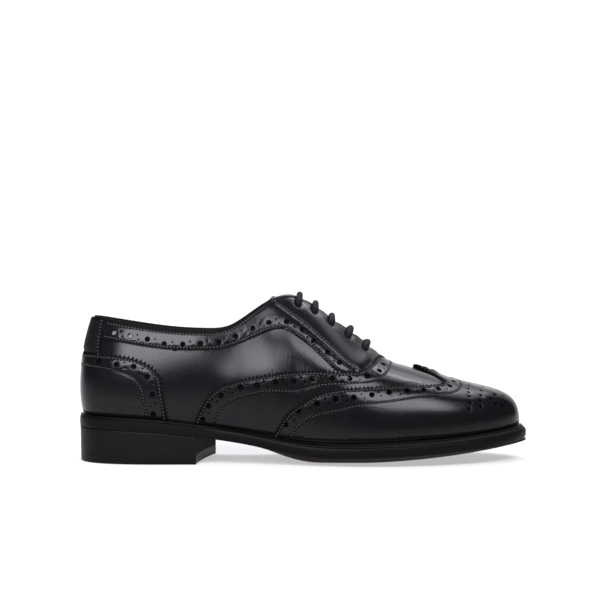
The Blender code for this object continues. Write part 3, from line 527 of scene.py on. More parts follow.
# Painted highlight: pale patch on the wall under two of the band's holes
HOLE_HIGHLIGHT = leather("painted_hole_highlight", (0.02, 0.02, 0.021), (0.2, 0.195, 0.19),
                       pores=900.0, depth=1.0, roughness=0.6, change=0.1, specular=0.2)
RUBBER = leather("black_rubber", (0.003, 0.003, 0.0033), (0.005, 0.0048, 0.0048),
                 pores=1500.0, depth=0.8, roughness=0.45, change=0.1, specular=0.06)
print("finishes", len(bpy.data.materials))

# %% [markdown]
# ## Moving about on the leather
# Panel lines are drawn flat: station along the shoe, depth down from the collar or ridge. The leather
# itself stretches and narrows under that drawing, so pitch, hole size and stitch length are measured on
# the last: the drawing's two directions are followed on the skin and the step is solved from them.

# %% Flat pattern and true lengths
FLAT_STATION = 3.27
FLAT_GIRTH = 80.0
LINE_STEP = 1.0
FLAT_STEP = 0.05


def over_top(flat):
    """Pattern of a piece that crosses the ridge: depth is signed, outer side negative."""
    station, v = (flat / (FLAT_STATION, FLAT_GIRTH)).T
    return np.where(v > 0, LOOP - station, station), 1 - np.abs(v)


def round_heel(flat):
    """Pattern of a piece that goes round the heel: station is signed, inner side negative."""
    station, depth = (flat / (FLAT_STATION, FLAT_GIRTH)).T
    return np.mod(station, LOOP), 1 - depth


def inner_side(flat):
    """Pattern of an outer-side piece, laid on the inner side."""
    return round_heel(flat * (-1, 1))


def curve_through(points):
    """Smooth line through pattern points given as (station, depth), in flat mm."""
    points = np.asarray(points, float) * (FLAT_STATION, FLAT_GIRTH)
    chord = np.linalg.norm(np.diff(points, axis=0), axis=1)[:, None]
    slope = np.diff(points, axis=0) / chord
    turn = (slope[:-1] * chord[1:] + slope[1:] * chord[:-1]) / (chord[:-1] + chord[1:])
    turn = np.concatenate((slope[:1], turn, slope[-1:]))
    line = [points[0]]
    for i, length in enumerate(chord[:, 0]):
        b = np.linspace(0, 1, max(1, round(length / LINE_STEP)) + 1)[1:, None]
        a = 1 - b
        start = points[i] * (1 + 2 * b) + turn[i] * length * b
        end = points[i + 1] * (1 + 2 * a) - turn[i + 1] * length * a
        line.extend(start * a * a + end * b * b)
    return np.array(line)


def mirrored(line):
    """The same line on the other side of the ridge, run the other way."""
    return line[::-1] * (1, -1)


def moved_left(line, distance):
    """The line moved to the left of its own direction, in flat mm."""
    along = unit(np.gradient(line, axis=0))
    return line + np.stack((-along[:, 1], along[:, 0]), axis=1) * distance


def tangents(flat, place):
    """How the skin's point moves for one flat mm in each direction of the pattern."""
    over = (FLAT_STEP, 0.0)
    down = (0.0, FLAT_STEP)
    u = (skin(*place(flat + over)) - skin(*place(flat - over))) / (2 * FLAT_STEP)
    v = (skin(*place(flat + down)) - skin(*place(flat - down))) / (2 * FLAT_STEP)
    return u, v


def shifted(flat, place, shift):
    """Flat points after a step in mm over the leather."""
    u, v = tangents(flat, place)
    uu, uv, vv = (u * u).sum(1), (u * v).sum(1), (v * v).sum(1)
    su, sv = (u * shift).sum(1), (v * shift).sum(1)
    size = (uu * vv - uv * uv)[:, None]
    return flat + np.stack((vv * su - uv * sv, uu * sv - uv * su), axis=1) / size


def directions(flat, place):
    """Unit vectors along a row of pattern points and to the left of it, on the leather."""
    ahead = np.gradient(flat, axis=0)
    u, v = tangents(flat, place)
    along = unit(u * ahead[:, :1] + v * ahead[:, 1:])
    left = v * ahead[:, :1] - u * ahead[:, 1:]
    return along, unit(left - along * (left * along).sum(1)[:, None])


def beside(flat, place, distance):
    """A row moved left by a true distance in mm."""
    return shifted(flat, place, directions(flat, place)[1] * np.reshape(distance, (-1, 1)))


def walk(line, place, pitch, bare=0.0):
    """Pattern points at an even true pitch along a line, leaving its ends bare."""
    reach = reach_along(skin(*place(line)))
    even = np.linspace(bare, reach[-1] - bare, max(2, round((reach[-1] - 2 * bare) / pitch) + 1))
    return read_rows(even, reach, line)


def nearest(points, targets):
    """Distance in mm from each point to the nearest target."""
    tree = kdtree.KDTree(len(targets))
    for index, target in enumerate(targets.tolist()):
        tree.insert(target, index)
    tree.balance()
    return np.array([tree.find(point)[2] for point in points.tolist()])


at_the_ball = FOOT(np.array((70.0, 71.0)))
print("one station at the ball is", reach_along(at_the_ball)[-1].round(2), "mm")

# %% [markdown]
# ## Creases
# Leather that has been lasted is not perfectly even. It keeps soft folds where the foot bends, it swells
# below the band, and the throat's edge dips between the upper eyelets and rises at the lower ones. Each
# of these is drawn as a short line on the pattern with a width and a height, negative for a trough. Every
# layer adds the same relief to its height, so that panels, stitches and wall move together.

# %% Soft troughs and swells
GIRTH_AT = (
    # station, and mm from top to bottom edge that stand for the full depth there
    (0, 66.0), (5, 65.5), (12, 63.4), (20, 60.5), (30, 62.1), (40, 74.4), (50, 100.8), (57, 95.1),
    (64, 78.8), (70, 71.2), (75, 66.2), (80, 60.5), (85, 55.2), (90, 50.8), (95, 46.9), (100, 45.3),
)
CREASES = (
    # line of (station, depth), width and height in mm
    (((47.9, 0.32), (48.6, 0.42), (48.2, 0.52)), 4.5, -0.15),
    (((51.0, 0.44), (54.0, 0.50)), 15.0, 1.35),
    (((38.0, 0.52), (46.0, 0.56), (58.0, 0.56)), 9.0, 0.9),
    (((55.5, 0.62), (59.5, 0.60), (63.5, 0.53)), 3.0, -0.45),
    (((53.7, 0.0), (57.2, 0.0)), 7.0, -2.2),
    (((61.8, 0.0), (64.8, 0.0)), 6.0, 1.7),
)


def spread_flat(station, depth):
    """Stations and depths as flat mm that are true to the girth."""
    girth = np.interp(station, *np.array(GIRTH_AT).T)
    return np.stack((station * FLAT_STATION, depth * girth), axis=1)


def relief(loop, t):
    """Height of the creases in mm at places on the leather."""
    here = spread_flat(station_of(loop), 1 - t)
    total = np.zeros(len(loop))
    for line, width, height in CREASES:
        line = spread_flat(*np.array(line).T)
        gap = np.full(len(loop), np.inf)
        for start, end in zip(line, line[1:]):
            edge = end - start
            share = np.clip(((here - start) @ edge) / (edge @ edge), 0, 1)
            gap = np.minimum(gap, np.linalg.norm(here - start - share[:, None] * edge, axis=1))
        total += height * np.exp(-0.5 * (gap / width) ** 2)
    return total


def lifted(loop, t, offset):
    """Points that stand off the creased leather; a negative offset is inside the wall."""
    loop = np.asarray(loop, float)
    t = np.asarray(t, float)
    height = np.reshape(offset, (-1,)) + relief(loop, t)
    return skin(loop, t) + height[:, None] * skin_normal(loop, t)


print("creases", len(CREASES))

# %% [markdown]
# ## From points to a piece
# Every piece is a plain mesh made from arrays of points and faces. This helper turns millimetres into
# the frame's metres, sets smooth shading with sharp corners, hangs the piece on the shoe, and hides
# the solid that it stands for. It also counts open edges, because a closed piece can be printed.

# %% Helper that adds a piece
WELD = 1e-7


def add_piece(name, points, faces, finishes, nodes=(), pick=None, corner=40.0):
    """Closed mesh from points in mm; pick holds one finish number per face."""
    mesh = bpy.data.meshes.new(name)
    mesh.from_pydata(to_frame(points).tolist(), [], [tuple(int(i) for i in face) for face in faces])
    for finish in finishes:
        mesh.materials.append(finish)
    if pick is not None:
        mesh.polygons.foreach_set("material_index", np.asarray(pick, np.int32))
    work = bmesh.new()
    work.from_mesh(mesh)
    bmesh.ops.remove_doubles(work, verts=work.verts, dist=WELD)
    bmesh.ops.recalc_face_normals(work, faces=work.faces)
    loose = sum(not edge.is_manifold for edge in work.edges)
    work.to_mesh(mesh)
    work.free()
    mesh.shade_smooth()
    mesh.set_sharp_from_angle(angle=math.radians(corner))
    piece = bpy.data.objects.new(name, mesh)
    bpy.context.scene.collection.objects.link(piece)
    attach(piece, "root")
    if nodes:
        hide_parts(*nodes)
    mesh.calc_loop_triangles()
    print(name, "triangles", len(mesh.loop_triangles), "open edges", loose)
    return piece


# %% [markdown]
# ## Panel lines
# The outlines of the leather pieces are the solids' own. Beside them run the lines that the photo adds:
# the inner stitch row of each brogue band and the row of holes between it and the pinked edge.

# %% Outlines, stitch rows and hole rows
BOTTOM = 0.985
TOP = 0.012
WING_TOP = 2.0
VAMP_TOP = 1.2
COUNTER_TOP = 1.2
BAND_TOP = 1.2
FACING_TOP = 1.45
STRIP_TOP = 1.7

WING_EDGE = ((43.8, BOTTOM), (46.4, 0.837), (51.9, 0.739), (59.5, 0.635), (68.1, 0.49), (74.8, 0.396),
             (78.6, 0.32), (79.9, 0.241), (79.0, 0.123), (76.8, 0.052), (73.5, 0.0))
VAMP_EDGE = ((27.8, BOTTOM), (28.9, 0.84), (30.8, 0.69), (34.2, 0.559), (38.9, 0.51), (44.9, 0.547),
             (50.6, 0.586), (57.2, 0.554), (62.1, 0.456), (64.2, 0.31), (65.4, 0.126), (66.3, 0.0))
FACING_LINE = ((46.3, TOP), (48.2, 0.133), (50.6, 0.244), (54.0, 0.337), (57.8, 0.406), (61.3, 0.465))
BAND_EDGE = ((9.1, 0.21), (17.8, 0.23), (27.1, 0.23), (33.5, 0.209), (38.6, 0.209), (44.1, 0.256),
             (48.9, 0.313), (51.5, 0.387), (54.5, 0.458), (57.6, 0.539))
COUNTER_EDGE = ((0.0, 0.375), (4.5, 0.372), (8.9, 0.365), (12.5, 0.36), (15.9, 0.37), (18.9, 0.42),
                (20.9, 0.52), (21.6, 0.7), (22.4, BOTTOM))
STRIP_HALF = 8.7
STRIP_LOW = 0.362

WING_STITCH = ((47.4, 0.978), (48.6, 0.909), (50.4, 0.862), (53.5, 0.827), (57.8, 0.783),
               (63.2, 0.707), (68.4, 0.633), (72.8, 0.564), (77.3, 0.507), (80.9, 0.453),
               (83.7, 0.335), (86.0, 0.207), (87.3, 0.101), (87.0, 0.0))
WING_HOLES = ((46.6, 0.886), (49.5, 0.803), (53.4, 0.768), (57.2, 0.724), (60.6, 0.687), (63.9, 0.628),
              (67.0, 0.571), (70.3, 0.522), (73.6, 0.483), (77.0, 0.433), (80.5, 0.347), (83.2, 0.217))
VAMP_STITCH = ((31.9, 0.94), (34.2, 0.739), (37.8, 0.649), (41.5, 0.633), (50.1, 0.687), (54.2, 0.66),
               (60.8, 0.576), (64.7, 0.473), (66.1, 0.399), (67.1, 0.291), (67.7, 0.163),
               (68.1, 0.06), (68.2, 0.0))
VAMP_HOLES = ((29.6, 0.93), (31.0, 0.77), (34.0, 0.644), (38.5, 0.574), (42.0, 0.589), (45.8, 0.608),
              (49.4, 0.635), (53.1, 0.63), (56.9, 0.603), (60.1, 0.557), (63.3, 0.47), (65.5, 0.355),
              (66.3, 0.229))
COUNTER_STITCH = ((0.0, 0.49), (6.2, 0.49), (12.6, 0.51), (15.8, 0.56), (17.2, 0.66), (17.9, 0.82),
                  (18.4, 0.96))
COUNTER_HOLES = ((0.0, 0.44), (8.8, 0.44), (12.4, 0.45), (15.9, 0.45), (18.5, 0.54), (19.5, 0.71),
                 (19.6, 0.93))
BAND_HOLES = ((11.5, 0.13), (14.9, 0.14), (18.4, 0.15), (21.9, 0.18), (26.2, 0.17), (30.6, 0.15),
              (35.2, 0.139), (39.2, 0.14), (42.9, 0.172), (46.1, 0.217), (49.5, 0.273), (52.4, 0.335),
              (54.2, 0.399), (56.5, 0.441), (58.5, 0.473))
MEDALLION = ((91.1, 0.143), (87.8, 0.261), (86.3, 0.347), (85.3, 0.428), (84.7, 0.502), (84.3, 0.598),
             (83.7, 0.685), (93.6, 0.234), (90.0, 0.372), (88.3, 0.48), (87.2, 0.569), (86.7, 0.657))
MEDALLION_BIG = ((93.2, 0.443),)
MEDALLION_DOTS = ((98.4, 0.22), (97.9, 0.325), (95.5, 0.48), (90.4, 0.542), (91.0, 0.628),
                  (94.1, 0.613), (92.5, 0.668))
print("brogue holes a side", len(WING_HOLES) + len(VAMP_HOLES) + len(COUNTER_HOLES) + len(BAND_HOLES))

# %% [markdown]
# ## Cutting leather
# A leather piece is cut like the real one: an outline, some of it pinked with a toothed tool, and holes
# punched through. A constrained triangulation fills the outline, keeping every tooth and hole exactly,
# with rows of points beside the stitch lines so that the leather can sink there.

# %% Teeth and holes
GRID_STEP = 1.35
GRID_ROW = GRID_STEP * 0.87
GRID_CLEAR = GRID_STEP * 0.62
EDGE_CLEAR = 0.6
HOLE_CLEAR = EDGE_CLEAR * 0.6
CORNER_CLEAR = 0.12
BLOCK = 2000
BIG_HOLE = 1.85
BIG_CORNERS = 14
SMALL_HOLE = 0.62
SMALL_CORNERS = 8
PAIR_ALONG = 0.9
PAIR_ACROSS = 1.55


def pinked(line, place, pitch, depth):
    """Line with triangular teeth of a true pitch and depth."""
    row = walk(line, place, pitch / 2)
    teeth = np.where(np.arange(len(row)) % 2 == 0, depth / 2, -depth / 2)
    teeth[[0, -1]] = 0
    return beside(row, place, teeth)


def closed_line(*lines):
    """One closed line from lines that follow each other, without doubled corners."""
    line = np.concatenate(lines)
    return line[np.linalg.norm(line - np.roll(line, 1, axis=0), axis=1) > CORNER_CLEAR]


def circles(centres, place, radius, corners):
    """True circles on the leather: one row of flat corners for each centre."""
    u, v = tangents(centres, place)
    first = unit(u)
    second = unit(v - first * (v * first).sum(1)[:, None])
    turn = np.arange(corners) * 2 * math.pi / corners
    steps = [radius * (math.cos(a) * first + math.sin(a) * second) for a in turn]
    return np.stack([shifted(centres, place, step) for step in steps], axis=1)


def brogue_holes(row, place):
    """Centres of the big holes, and of the two small ones in each space between them."""
    line = curve_through(row)
    big = np.asarray(row, float) * (FLAT_STATION, FLAT_GIRTH)
    middle = (big[1:] + big[:-1]) / 2
    middle = line[[np.linalg.norm(line - point, axis=1).argmin() for point in middle]]
    along, left = directions(middle, place)
    shift = along * PAIR_ALONG + left * PAIR_ACROSS
    return big, np.concatenate((shifted(middle, place, shift), shifted(middle, place, -shift)))


def inside(points, line):
    """Which flat points lie inside a closed flat line."""
    start = line
    end = np.roll(line, -1, axis=0)
    rise = np.where(end[:, 1] == start[:, 1], 1.0, end[:, 1] - start[:, 1])
    found = []
    for block in np.array_split(points, max(1, len(points) // BLOCK)):
        spans = (start[:, 1] > block[:, None, 1]) != (end[:, 1] > block[:, None, 1])
        crossing = start[:, 0] + (block[:, None, 1] - start[:, 1]) / rise * (end[:, 0] - start[:, 0])
        found.append((spans & (block[:, None, 0] < crossing)).sum(1) % 2 == 1)
    return np.concatenate(found)


print("grid", GRID_STEP, "mm; big hole", 2 * BIG_HOLE, "mm wide")

# %% [markdown]
# ## Relief and thickness of a piece
# The top of a piece is a height above the wall, with a groove at each stitch row and a swell under the
# brogue band. The triangles are lifted to it, doubled for the underside and joined by walls. The walls and
# underside get the dark finish of the cut edge, and so do a band of the top along the edge and a line
# along each stitch groove, as painted shade.

# %% Relief, triangles and the closed sheet
ON_WALL = 0.05
LEAST_THICK = 0.15
GROOVE = (0.5, -0.16)
GUIDE_STEP = 1.0
GUIDE_SPREAD = (0.0, 0.45, -0.45, 1.1, -1.1, 1.9, -1.9)
RIM_DROP = 0.35
HOLE_DROP = 0.12
# Widths in mm of the painted shade along the cut edge and along each stitch row
EDGE_SHADE = 1.8
GROOVE_SHADE = 0.75
DARK_STEP = 0.4
SEAM_CLEAR = 2.0
FILL_INSIDE = 1
FILL_CLOSE = 1e-5
SAME_DIGITS = 3


def height_map(place, base, features):
    """Function that gives a piece's top height, with grooves and swells along lines on it.

    Each feature is (flat line, width, height): a soft bell across the line, in mm.
    """
    lines = [(skin(*place(line)), width, height) for line, width, height in features]

    def top(flat):
        points = skin(*place(flat))
        total = np.full(len(points), base)
        for line, width, height in lines:
            total += height * np.exp(-0.5 * (nearest(points, line) / width) ** 2)
        return total

    return top


def interior_points(line, place, fixed, holes, guides):
    """Guide rows and an even grid inside a line, clear of its edge and of the holes."""
    low = line.min(axis=0)
    high = line.max(axis=0)
    across = np.arange(low[0], high[0], GRID_STEP)
    down = np.arange(low[1], high[1], GRID_ROW)
    grid = np.stack(np.meshgrid(across, down), axis=2)
    grid[1::2, :, 0] += GRID_STEP / 2
    kept = []
    for points, clear in ((guides, EDGE_CLEAR), (grid.reshape(-1, 2), GRID_CLEAR)):
        points = points[inside(points, line)]
        where = skin(*place(points))
        good = nearest(where, fixed) > clear
        for centres, radius in holes:
            good &= nearest(where, skin(*place(centres))) > radius + HOLE_CLEAR
        points = points[good]
        kept.append(points)
        fixed = np.concatenate((fixed, skin(*place(points))))
    return np.concatenate(kept)


def groove(line):
    """Feature of one stitched row: a narrow groove."""
    return [(line, *GROOVE)]


def guide_rows(line, place):
    """Rows of mesh points along and beside a line, so that a groove has something to bend."""
    row = walk(line, place, GUIDE_STEP)
    return [beside(row, place, distance) for distance in GUIDE_SPREAD]


def fill_outline(line, rings, filling):
    """Triangles between a closed line and its holes, through the points that fill it.

    Gives the flat points, the ring that each lies on (0 is the line, -1 is none) and the triangles.
    """
    flat = np.concatenate([line] + rings + [filling])
    edges = []
    owner = np.full(len(flat), -1)
    start = 0
    for number, ring in enumerate([line] + rings):
        count = len(ring)
        edges += [(start + i, start + (i + 1) % count) for i in range(count)]
        owner[start:start + count] = number
        start += count
    corners = [Vector(point) for point in flat]
    found = delaunay_2d_cdt(corners, edges, [list(range(len(line)))], FILL_INSIDE, FILL_CLOSE, True)
    flat = np.array([tuple(point) for point in found[0]])
    source = np.array([ids[0] if ids else -1 for ids in found[3]])
    owner = np.where(source >= 0, owner[source], -1)
    faces = np.array(found[2])
    kind = owner[faces]
    punched = (kind[:, 0] > 0) & (kind[:, 0] == kind[:, 1]) & (kind[:, 0] == kind[:, 2])
    return flat, owner, faces[~punched & inside(flat[faces].mean(axis=1), line)]


def edge_points(here, owner):
    """Which points are on the cut edge: on the line, and clear of places where it meets itself."""
    rim = owner == 0
    near = np.round(here, SAME_DIGITS)
    number, counts = np.unique(near, axis=0, return_inverse=True, return_counts=True)[1:]
    seam = counts[number.reshape(-1)] > 1
    if seam.any():
        rim &= nearest(here, here[seam]) > SEAM_CLEAR
    return rim


def joined(faces, points):
    """The faces with corners that lie in one place given one number."""
    first = {}
    places = np.round(points, SAME_DIGITS).tolist()
    return np.array([first.setdefault(tuple(place), i) for i, place in enumerate(places)])[faces]


def thick_sheet(faces, count):
    """Top triangles, then the underside, whose points come count later, then the walls."""
    sides = {(int(face[i]), int(face[(i + 1) % 3])) for face in faces for i in range(3)}
    walls = [(a, b) for a, b in sides if (b, a) not in sides]
    solid = [tuple(face) for face in faces]
    solid += [tuple(count + corner for corner in face[::-1]) for face in faces]
    return solid + [(b, a, count + a, count + b) for a, b in walls]


def without_spares(points, faces):
    """The points that the faces use, and the faces with their new numbers."""
    used = np.zeros(len(points), bool)
    for face in faces:
        used[list(face)] = True
    number = np.cumsum(used) - 1
    return points[used], [tuple(number[list(face)]) for face in faces]


def cut_leather(name, node, line, place, top, holes, rows, seat=ON_WALL, finish=CALF, dark=()):
    """Leather piece from a closed flat line: toothed edge, holes, shaped top and flat underside.

    holes is a list of (centres, radius, corners); rows are the stitch rows, which get finer mesh. A band
    along the edge and a line along each stitch groove get painted shade; dark lists (flat line, width)
    edges in place of the whole edge.
    Points of the line that meet in one place are joined, so the piece closes there and has no edge.
    """
    guides = [guide for row in rows for guide in guide_rows(row, place)]
    rings = []
    for centres, radius, corners in holes:
        rings += list(circles(centres, place, radius, corners))
    border = skin(*place(np.concatenate([line] + rings)))
    spans = [(centres, radius) for centres, radius, corners in holes]
    filling = interior_points(line, place, border, spans, np.concatenate(guides))
    flat, owner, faces = fill_outline(line, rings, filling)
    loop, t = place(flat)
    rim = edge_points(skin(loop, t), owner)
    height = top(flat) - np.where(rim, RIM_DROP, 0.0) - np.where(owner > 0, HOLE_DROP, 0.0)
    high = lifted(loop, t, height)
    under = seat(flat) if callable(seat) else np.full(len(flat), seat)
    low = lifted(loop, t, np.minimum(under, height - LEAST_THICK))
    faces = joined(faces, high)
    solid = thick_sheet(faces, len(high))
    pick = np.zeros(len(solid), int)
    middles = skin(*place(flat[faces].mean(axis=1)))
    # Painted shade: top faces near the cut edge and along each stitch row take the dark edge finish
    dark_lines = list(dark or ((flat[rim], EDGE_SHADE),))
    dark_lines += [(walk(row, place, DARK_STEP), GROOVE_SHADE) for row in rows]
    for edge, width in dark_lines:
        pick[:len(faces)] |= nearest(middles, skin(*place(edge))) < width
    pick[2 * len(faces):] = 1
    points, solid = without_spares(np.concatenate((high, low)), solid)
    add_piece(name, points, solid, (finish, RAW_EDGE_AND_SHADE), (node,), pick)


print("stitch groove, mm wide and high", GROOVE, "cut edge lower by", RIM_DROP, "mm")

# %% [markdown]
# ## Wing cap
# The toe piece is the highest layer. Its toothed edge has one narrow peak on the ridge and a long tail
# down each side. Two stitch rows hold a puffed band with the brogue holes, and the toe has a pattern of
# punched holes. The edge lies on the vamp, so the underside is raised there.

# %% Wing cap
THREAD_ROWS = []
ROW_STEP = 1.0
EDGE_ROW = 1.9
RIDGE_CLEAR = 2.4
WING_TEETH = (2.7, 2.3)
PEAK_FROM = 73.0
PEAK_DEPTH = 0.12
PEAK_HALF = 0.1
PEAK_THORN = (-1.3, -0.8)
DOT = 1.02
DOT_CORNERS = 10
BIG_DOT = 1.5
BIG_DOT_CORNERS = 12
# Width and height, in mm, of soft swells and dips along lines of the wing cap
WING_PUFF = (2.6, 0.22)
PEAK_SWELL = (3.6, 2.4)
LAP_RISE = (1.6, 1.2)
PEAK_LINE = ((74.8, 0.0), (77.0, 0.0), (79.5, 0.0))
WING_BAND_END = ((84.6, 0.10), (84.0, 0.0))


def both_sides(line):
    """A line over the ridge: outer side, then its mirror."""
    return np.concatenate((line, mirrored(line)[1:]))


def flat_points(points, sign=1):
    """Pattern points in flat mm; sign -1 puts the depth on the outer side of the ridge."""
    return np.asarray(points, float) * (FLAT_STATION, FLAT_GIRTH * sign)


def over_ridge(points):
    """Flat points on both sides of the ridge."""
    return np.concatenate((flat_points(points, -1), flat_points(points, 1)))


def ridge_brogue(row):
    """Big and small brogue holes of a row, on both sides of the ridge."""
    big, small = brogue_holes(row, over_top)
    return np.concatenate((big * (1, -1), big)), np.concatenate((small * (1, -1), small))


def edge_row(line, place, distance):
    """Stitch row at a true distance to the left of a line."""
    return beside(walk(line, place, ROW_STEP), place, distance)


wing_edge = curve_through(WING_EDGE) * (1, -1)
wing_bottom = curve_through(((WING_EDGE[0][0], BOTTOM), (TIP, BOTTOM)))
wing_seam = curve_through(((TIP, BOTTOM), (TIP, -BOTTOM)))
wing_toothed = pinked(wing_edge, over_top, *WING_TEETH)
on_peak = np.abs(wing_toothed[:, 1] / FLAT_GIRTH + PEAK_DEPTH) < PEAK_HALF
on_peak &= wing_toothed[:, 0] > PEAK_FROM * FLAT_STATION
on_peak[1::2] = False
wing_toothed[on_peak] += PEAK_THORN
wing_line = closed_line(wing_toothed, mirrored(wing_toothed), wing_bottom, wing_seam,
                        mirrored(wing_bottom))
wing_inner_row = both_sides(curve_through(WING_STITCH) * (1, -1))
wing_edge_row = edge_row(wing_edge, over_top, -EDGE_ROW)
wing_edge_row = wing_edge_row[np.abs(wing_edge_row[:, 1]) > RIDGE_CLEAR]
wing_big, wing_small = ridge_brogue(WING_HOLES)
wing_band = both_sides(curve_through(WING_HOLES + WING_BAND_END) * (1, -1))
wing_rows = (wing_inner_row, wing_edge_row, mirrored(wing_edge_row))
wing_features = [feature for row in wing_rows for feature in groove(row)]
wing_features += [(wing_band, *WING_PUFF), (flat_points(PEAK_LINE), *PEAK_SWELL)]
wing_top = height_map(over_top, WING_TOP, wing_features)
wing_lap = height_map(over_top, ON_WALL, [(both_sides(wing_edge), *LAP_RISE)])
wing_punched = [(wing_big, BIG_HOLE, BIG_CORNERS), (over_ridge(MEDALLION_BIG), BIG_DOT, BIG_DOT_CORNERS),
                (over_ridge(MEDALLION + MEDALLION_DOTS), DOT, DOT_CORNERS),
                (wing_small, SMALL_HOLE, SMALL_CORNERS)]
cut_leather("wing_cap_fine", "wing_cap", wing_line, over_top, wing_top, wing_punched, wing_rows, wing_lap)
THREAD_ROWS += [(row, over_top, wing_top) for row in wing_rows]

# %% [markdown]
# ## Vamp
# The vamp covers the ball of the foot between throat and wing cap, with tails that run back along the
# sole. Its front runs on under the wing cap, as it does on a sewn shoe, so no gap shows in the teeth.

# %% Vamp
VAMP_TEETH = (2.6, 2.2)
UNDER_WING = 1.8
FRONT_CLEAR = 1.0
FRONT_PEAK = 1.2
TAIL_END = 0.4
VAMP_PUFF = (2.4, 0.2)
VAMP_BAND_END = ((66.5, 0.0),)
WING_DIP = (2.2, -0.35)
vamp_edge = curve_through(VAMP_EDGE) * (1, -1)
vamp_toothed = pinked(vamp_edge, over_top, *VAMP_TEETH)
vamp_front = moved_left(wing_edge, -UNDER_WING)
vamp_front = vamp_front[(vamp_front[:, 1] < -FRONT_CLEAR)
                        & (vamp_front[:, 0] > WING_EDGE[0][0] * FLAT_STATION)]
vamp_peak = np.array(((vamp_front[-1][0] - FRONT_PEAK, 0.0),))
vamp_tail = curve_through(((VAMP_EDGE[0][0], BOTTOM), (WING_EDGE[0][0] + TAIL_END, BOTTOM)))
vamp_line = closed_line(vamp_toothed, mirrored(vamp_toothed), vamp_tail, vamp_front * (1, -1), vamp_peak,
                        vamp_front[::-1], mirrored(vamp_tail))
vamp_inner_row = both_sides(curve_through(VAMP_STITCH) * (1, -1))
vamp_edge_row = both_sides(edge_row(vamp_edge, over_top, -EDGE_ROW))
vamp_band = both_sides(curve_through(VAMP_HOLES + VAMP_BAND_END) * (1, -1))
vamp_big, vamp_small = ridge_brogue(VAMP_HOLES)
vamp_features = groove(vamp_inner_row) + groove(vamp_edge_row)
vamp_features += [(vamp_band, *VAMP_PUFF), (both_sides(wing_edge), *WING_DIP)]
vamp_top = height_map(over_top, VAMP_TOP, vamp_features)
vamp_punched = [(vamp_big, BIG_HOLE, BIG_CORNERS), (vamp_small, SMALL_HOLE, SMALL_CORNERS)]
vamp_rows = (vamp_inner_row, vamp_edge_row)
cut_leather("vamp_fine", "vamp_panel", vamp_line, over_top, vamp_top, vamp_punched, vamp_rows)
THREAD_ROWS += [(row, over_top, vamp_top) for row in vamp_rows]

# %% [markdown]
# ## Counter and back strip
# The rest of the upper's overlays follow the same recipe. The counter wraps the heel, with teeth, holes
# and two stitch rows. The strip covers the back seam from the collar down to the counter; its leather is
# rougher and less polished, and it sinks where the counter's edge laps it.

# %% Counter and back strip
COUNTER_TEETH = (2.9, 2.2)
COUNTER_PUFF = (2.4, 0.3)
STRIP_ROW = 1.6
STRIP_LAP = 0.02
COUNTER_DIP = (1.8, -1.1)
counter_edge = curve_through(COUNTER_EDGE)
counter_toothed = pinked(counter_edge, round_heel, *COUNTER_TEETH)
counter_bottom = curve_through(((COUNTER_EDGE[-1][0], BOTTOM), (-COUNTER_EDGE[-1][0], BOTTOM)))
counter_line = closed_line(counter_toothed, counter_bottom, counter_toothed[::-1] * (-1, 1))


def both_heel_sides(line):
    """A line round the heel: inner side, then outer side."""
    return np.concatenate((line[::-1] * (-1, 1), line[1:]))


counter_edge_row = both_heel_sides(edge_row(counter_edge, round_heel, EDGE_ROW))
counter_inner_row = both_heel_sides(curve_through(COUNTER_STITCH))
counter_band = both_heel_sides(curve_through(COUNTER_HOLES))
counter_big, counter_small = brogue_holes(COUNTER_HOLES, round_heel)
counter_big = np.concatenate((counter_big, counter_big[1:] * (-1, 1)))
counter_small = np.concatenate((counter_small, counter_small * (-1, 1)))
counter_features = groove(counter_inner_row) + groove(counter_edge_row)
counter_features.append((counter_band, *COUNTER_PUFF))
counter_top = height_map(round_heel, COUNTER_TOP, counter_features)
counter_punched = [(counter_big, BIG_HOLE, BIG_CORNERS), (counter_small, SMALL_HOLE, SMALL_CORNERS)]
counter_rows = (counter_inner_row, counter_edge_row)
cut_leather("counter_fine", "heel_counter", counter_line, round_heel, counter_top, counter_punched,
            counter_rows)
THREAD_ROWS += [(row, round_heel, counter_top) for row in counter_rows]

strip_low = STRIP_LOW + STRIP_LAP
strip_side = curve_through(((STRIP_HALF, TOP), (STRIP_HALF, strip_low)))
strip_foot = curve_through(((STRIP_HALF, strip_low), (-STRIP_HALF, strip_low)))
strip_rim = curve_through(((-STRIP_HALF, TOP), (STRIP_HALF, TOP)))
strip_line = closed_line(strip_side, strip_foot, strip_side[::-1] * (-1, 1), strip_rim)
strip_row = edge_row(strip_side, round_heel, STRIP_ROW)
strip_rows = [strip_row, strip_row * (-1, 1)]
strip_features = groove(strip_rows[0]) + groove(strip_rows[1])
strip_features.append((both_heel_sides(counter_edge), *COUNTER_DIP))
strip_top = height_map(round_heel, STRIP_TOP, strip_features)
cut_leather("back_strip_fine", "back_strip", strip_line, round_heel, strip_top, (), strip_rows,
            finish=STRIP_CALF)
THREAD_ROWS += [(row, round_heel, strip_top) for row in strip_rows]

# %% [markdown]
# ## Facings and bands
# The facings carry the eyelets on both sides of the throat, and a band with one row of holes runs along
# collar and facing. Both are cut once as a flat line and laid on the outer and the inner side. Each lace
# bar presses a soft dent into the facing, and both pieces sink where the vamp laps over them.

# %% Facings and bands
EYELETS = 5
FIRST_EYELET = 148.2
EYELET_PITCH = 10.8
EYELET_DOWN = 9.4
EYELET_RADIUS = 2.5
EYELET_CORNERS = 16
RIB_POINTS = 200
FACING_ROW = -1.5
THROAT_STITCH = -2.6
BAND_TEETH = (2.0, 0.7)
BAND_ROW = -1.7
COLLAR_ROW = 2.2
COLLAR_LINE = ((9.6, TOP), (45.0, TOP))
# How far the flat lines run on under their neighbours, in flat mm or stations
UNDER_VAMP = 2.0
UNDER_FACING = 1.7
FACING_STOP = 1.0
BAND_END = ((59.4, 0.525), (61.4, 0.47))
BAND_BACK = 0.9
BAND_RIM = 0.3
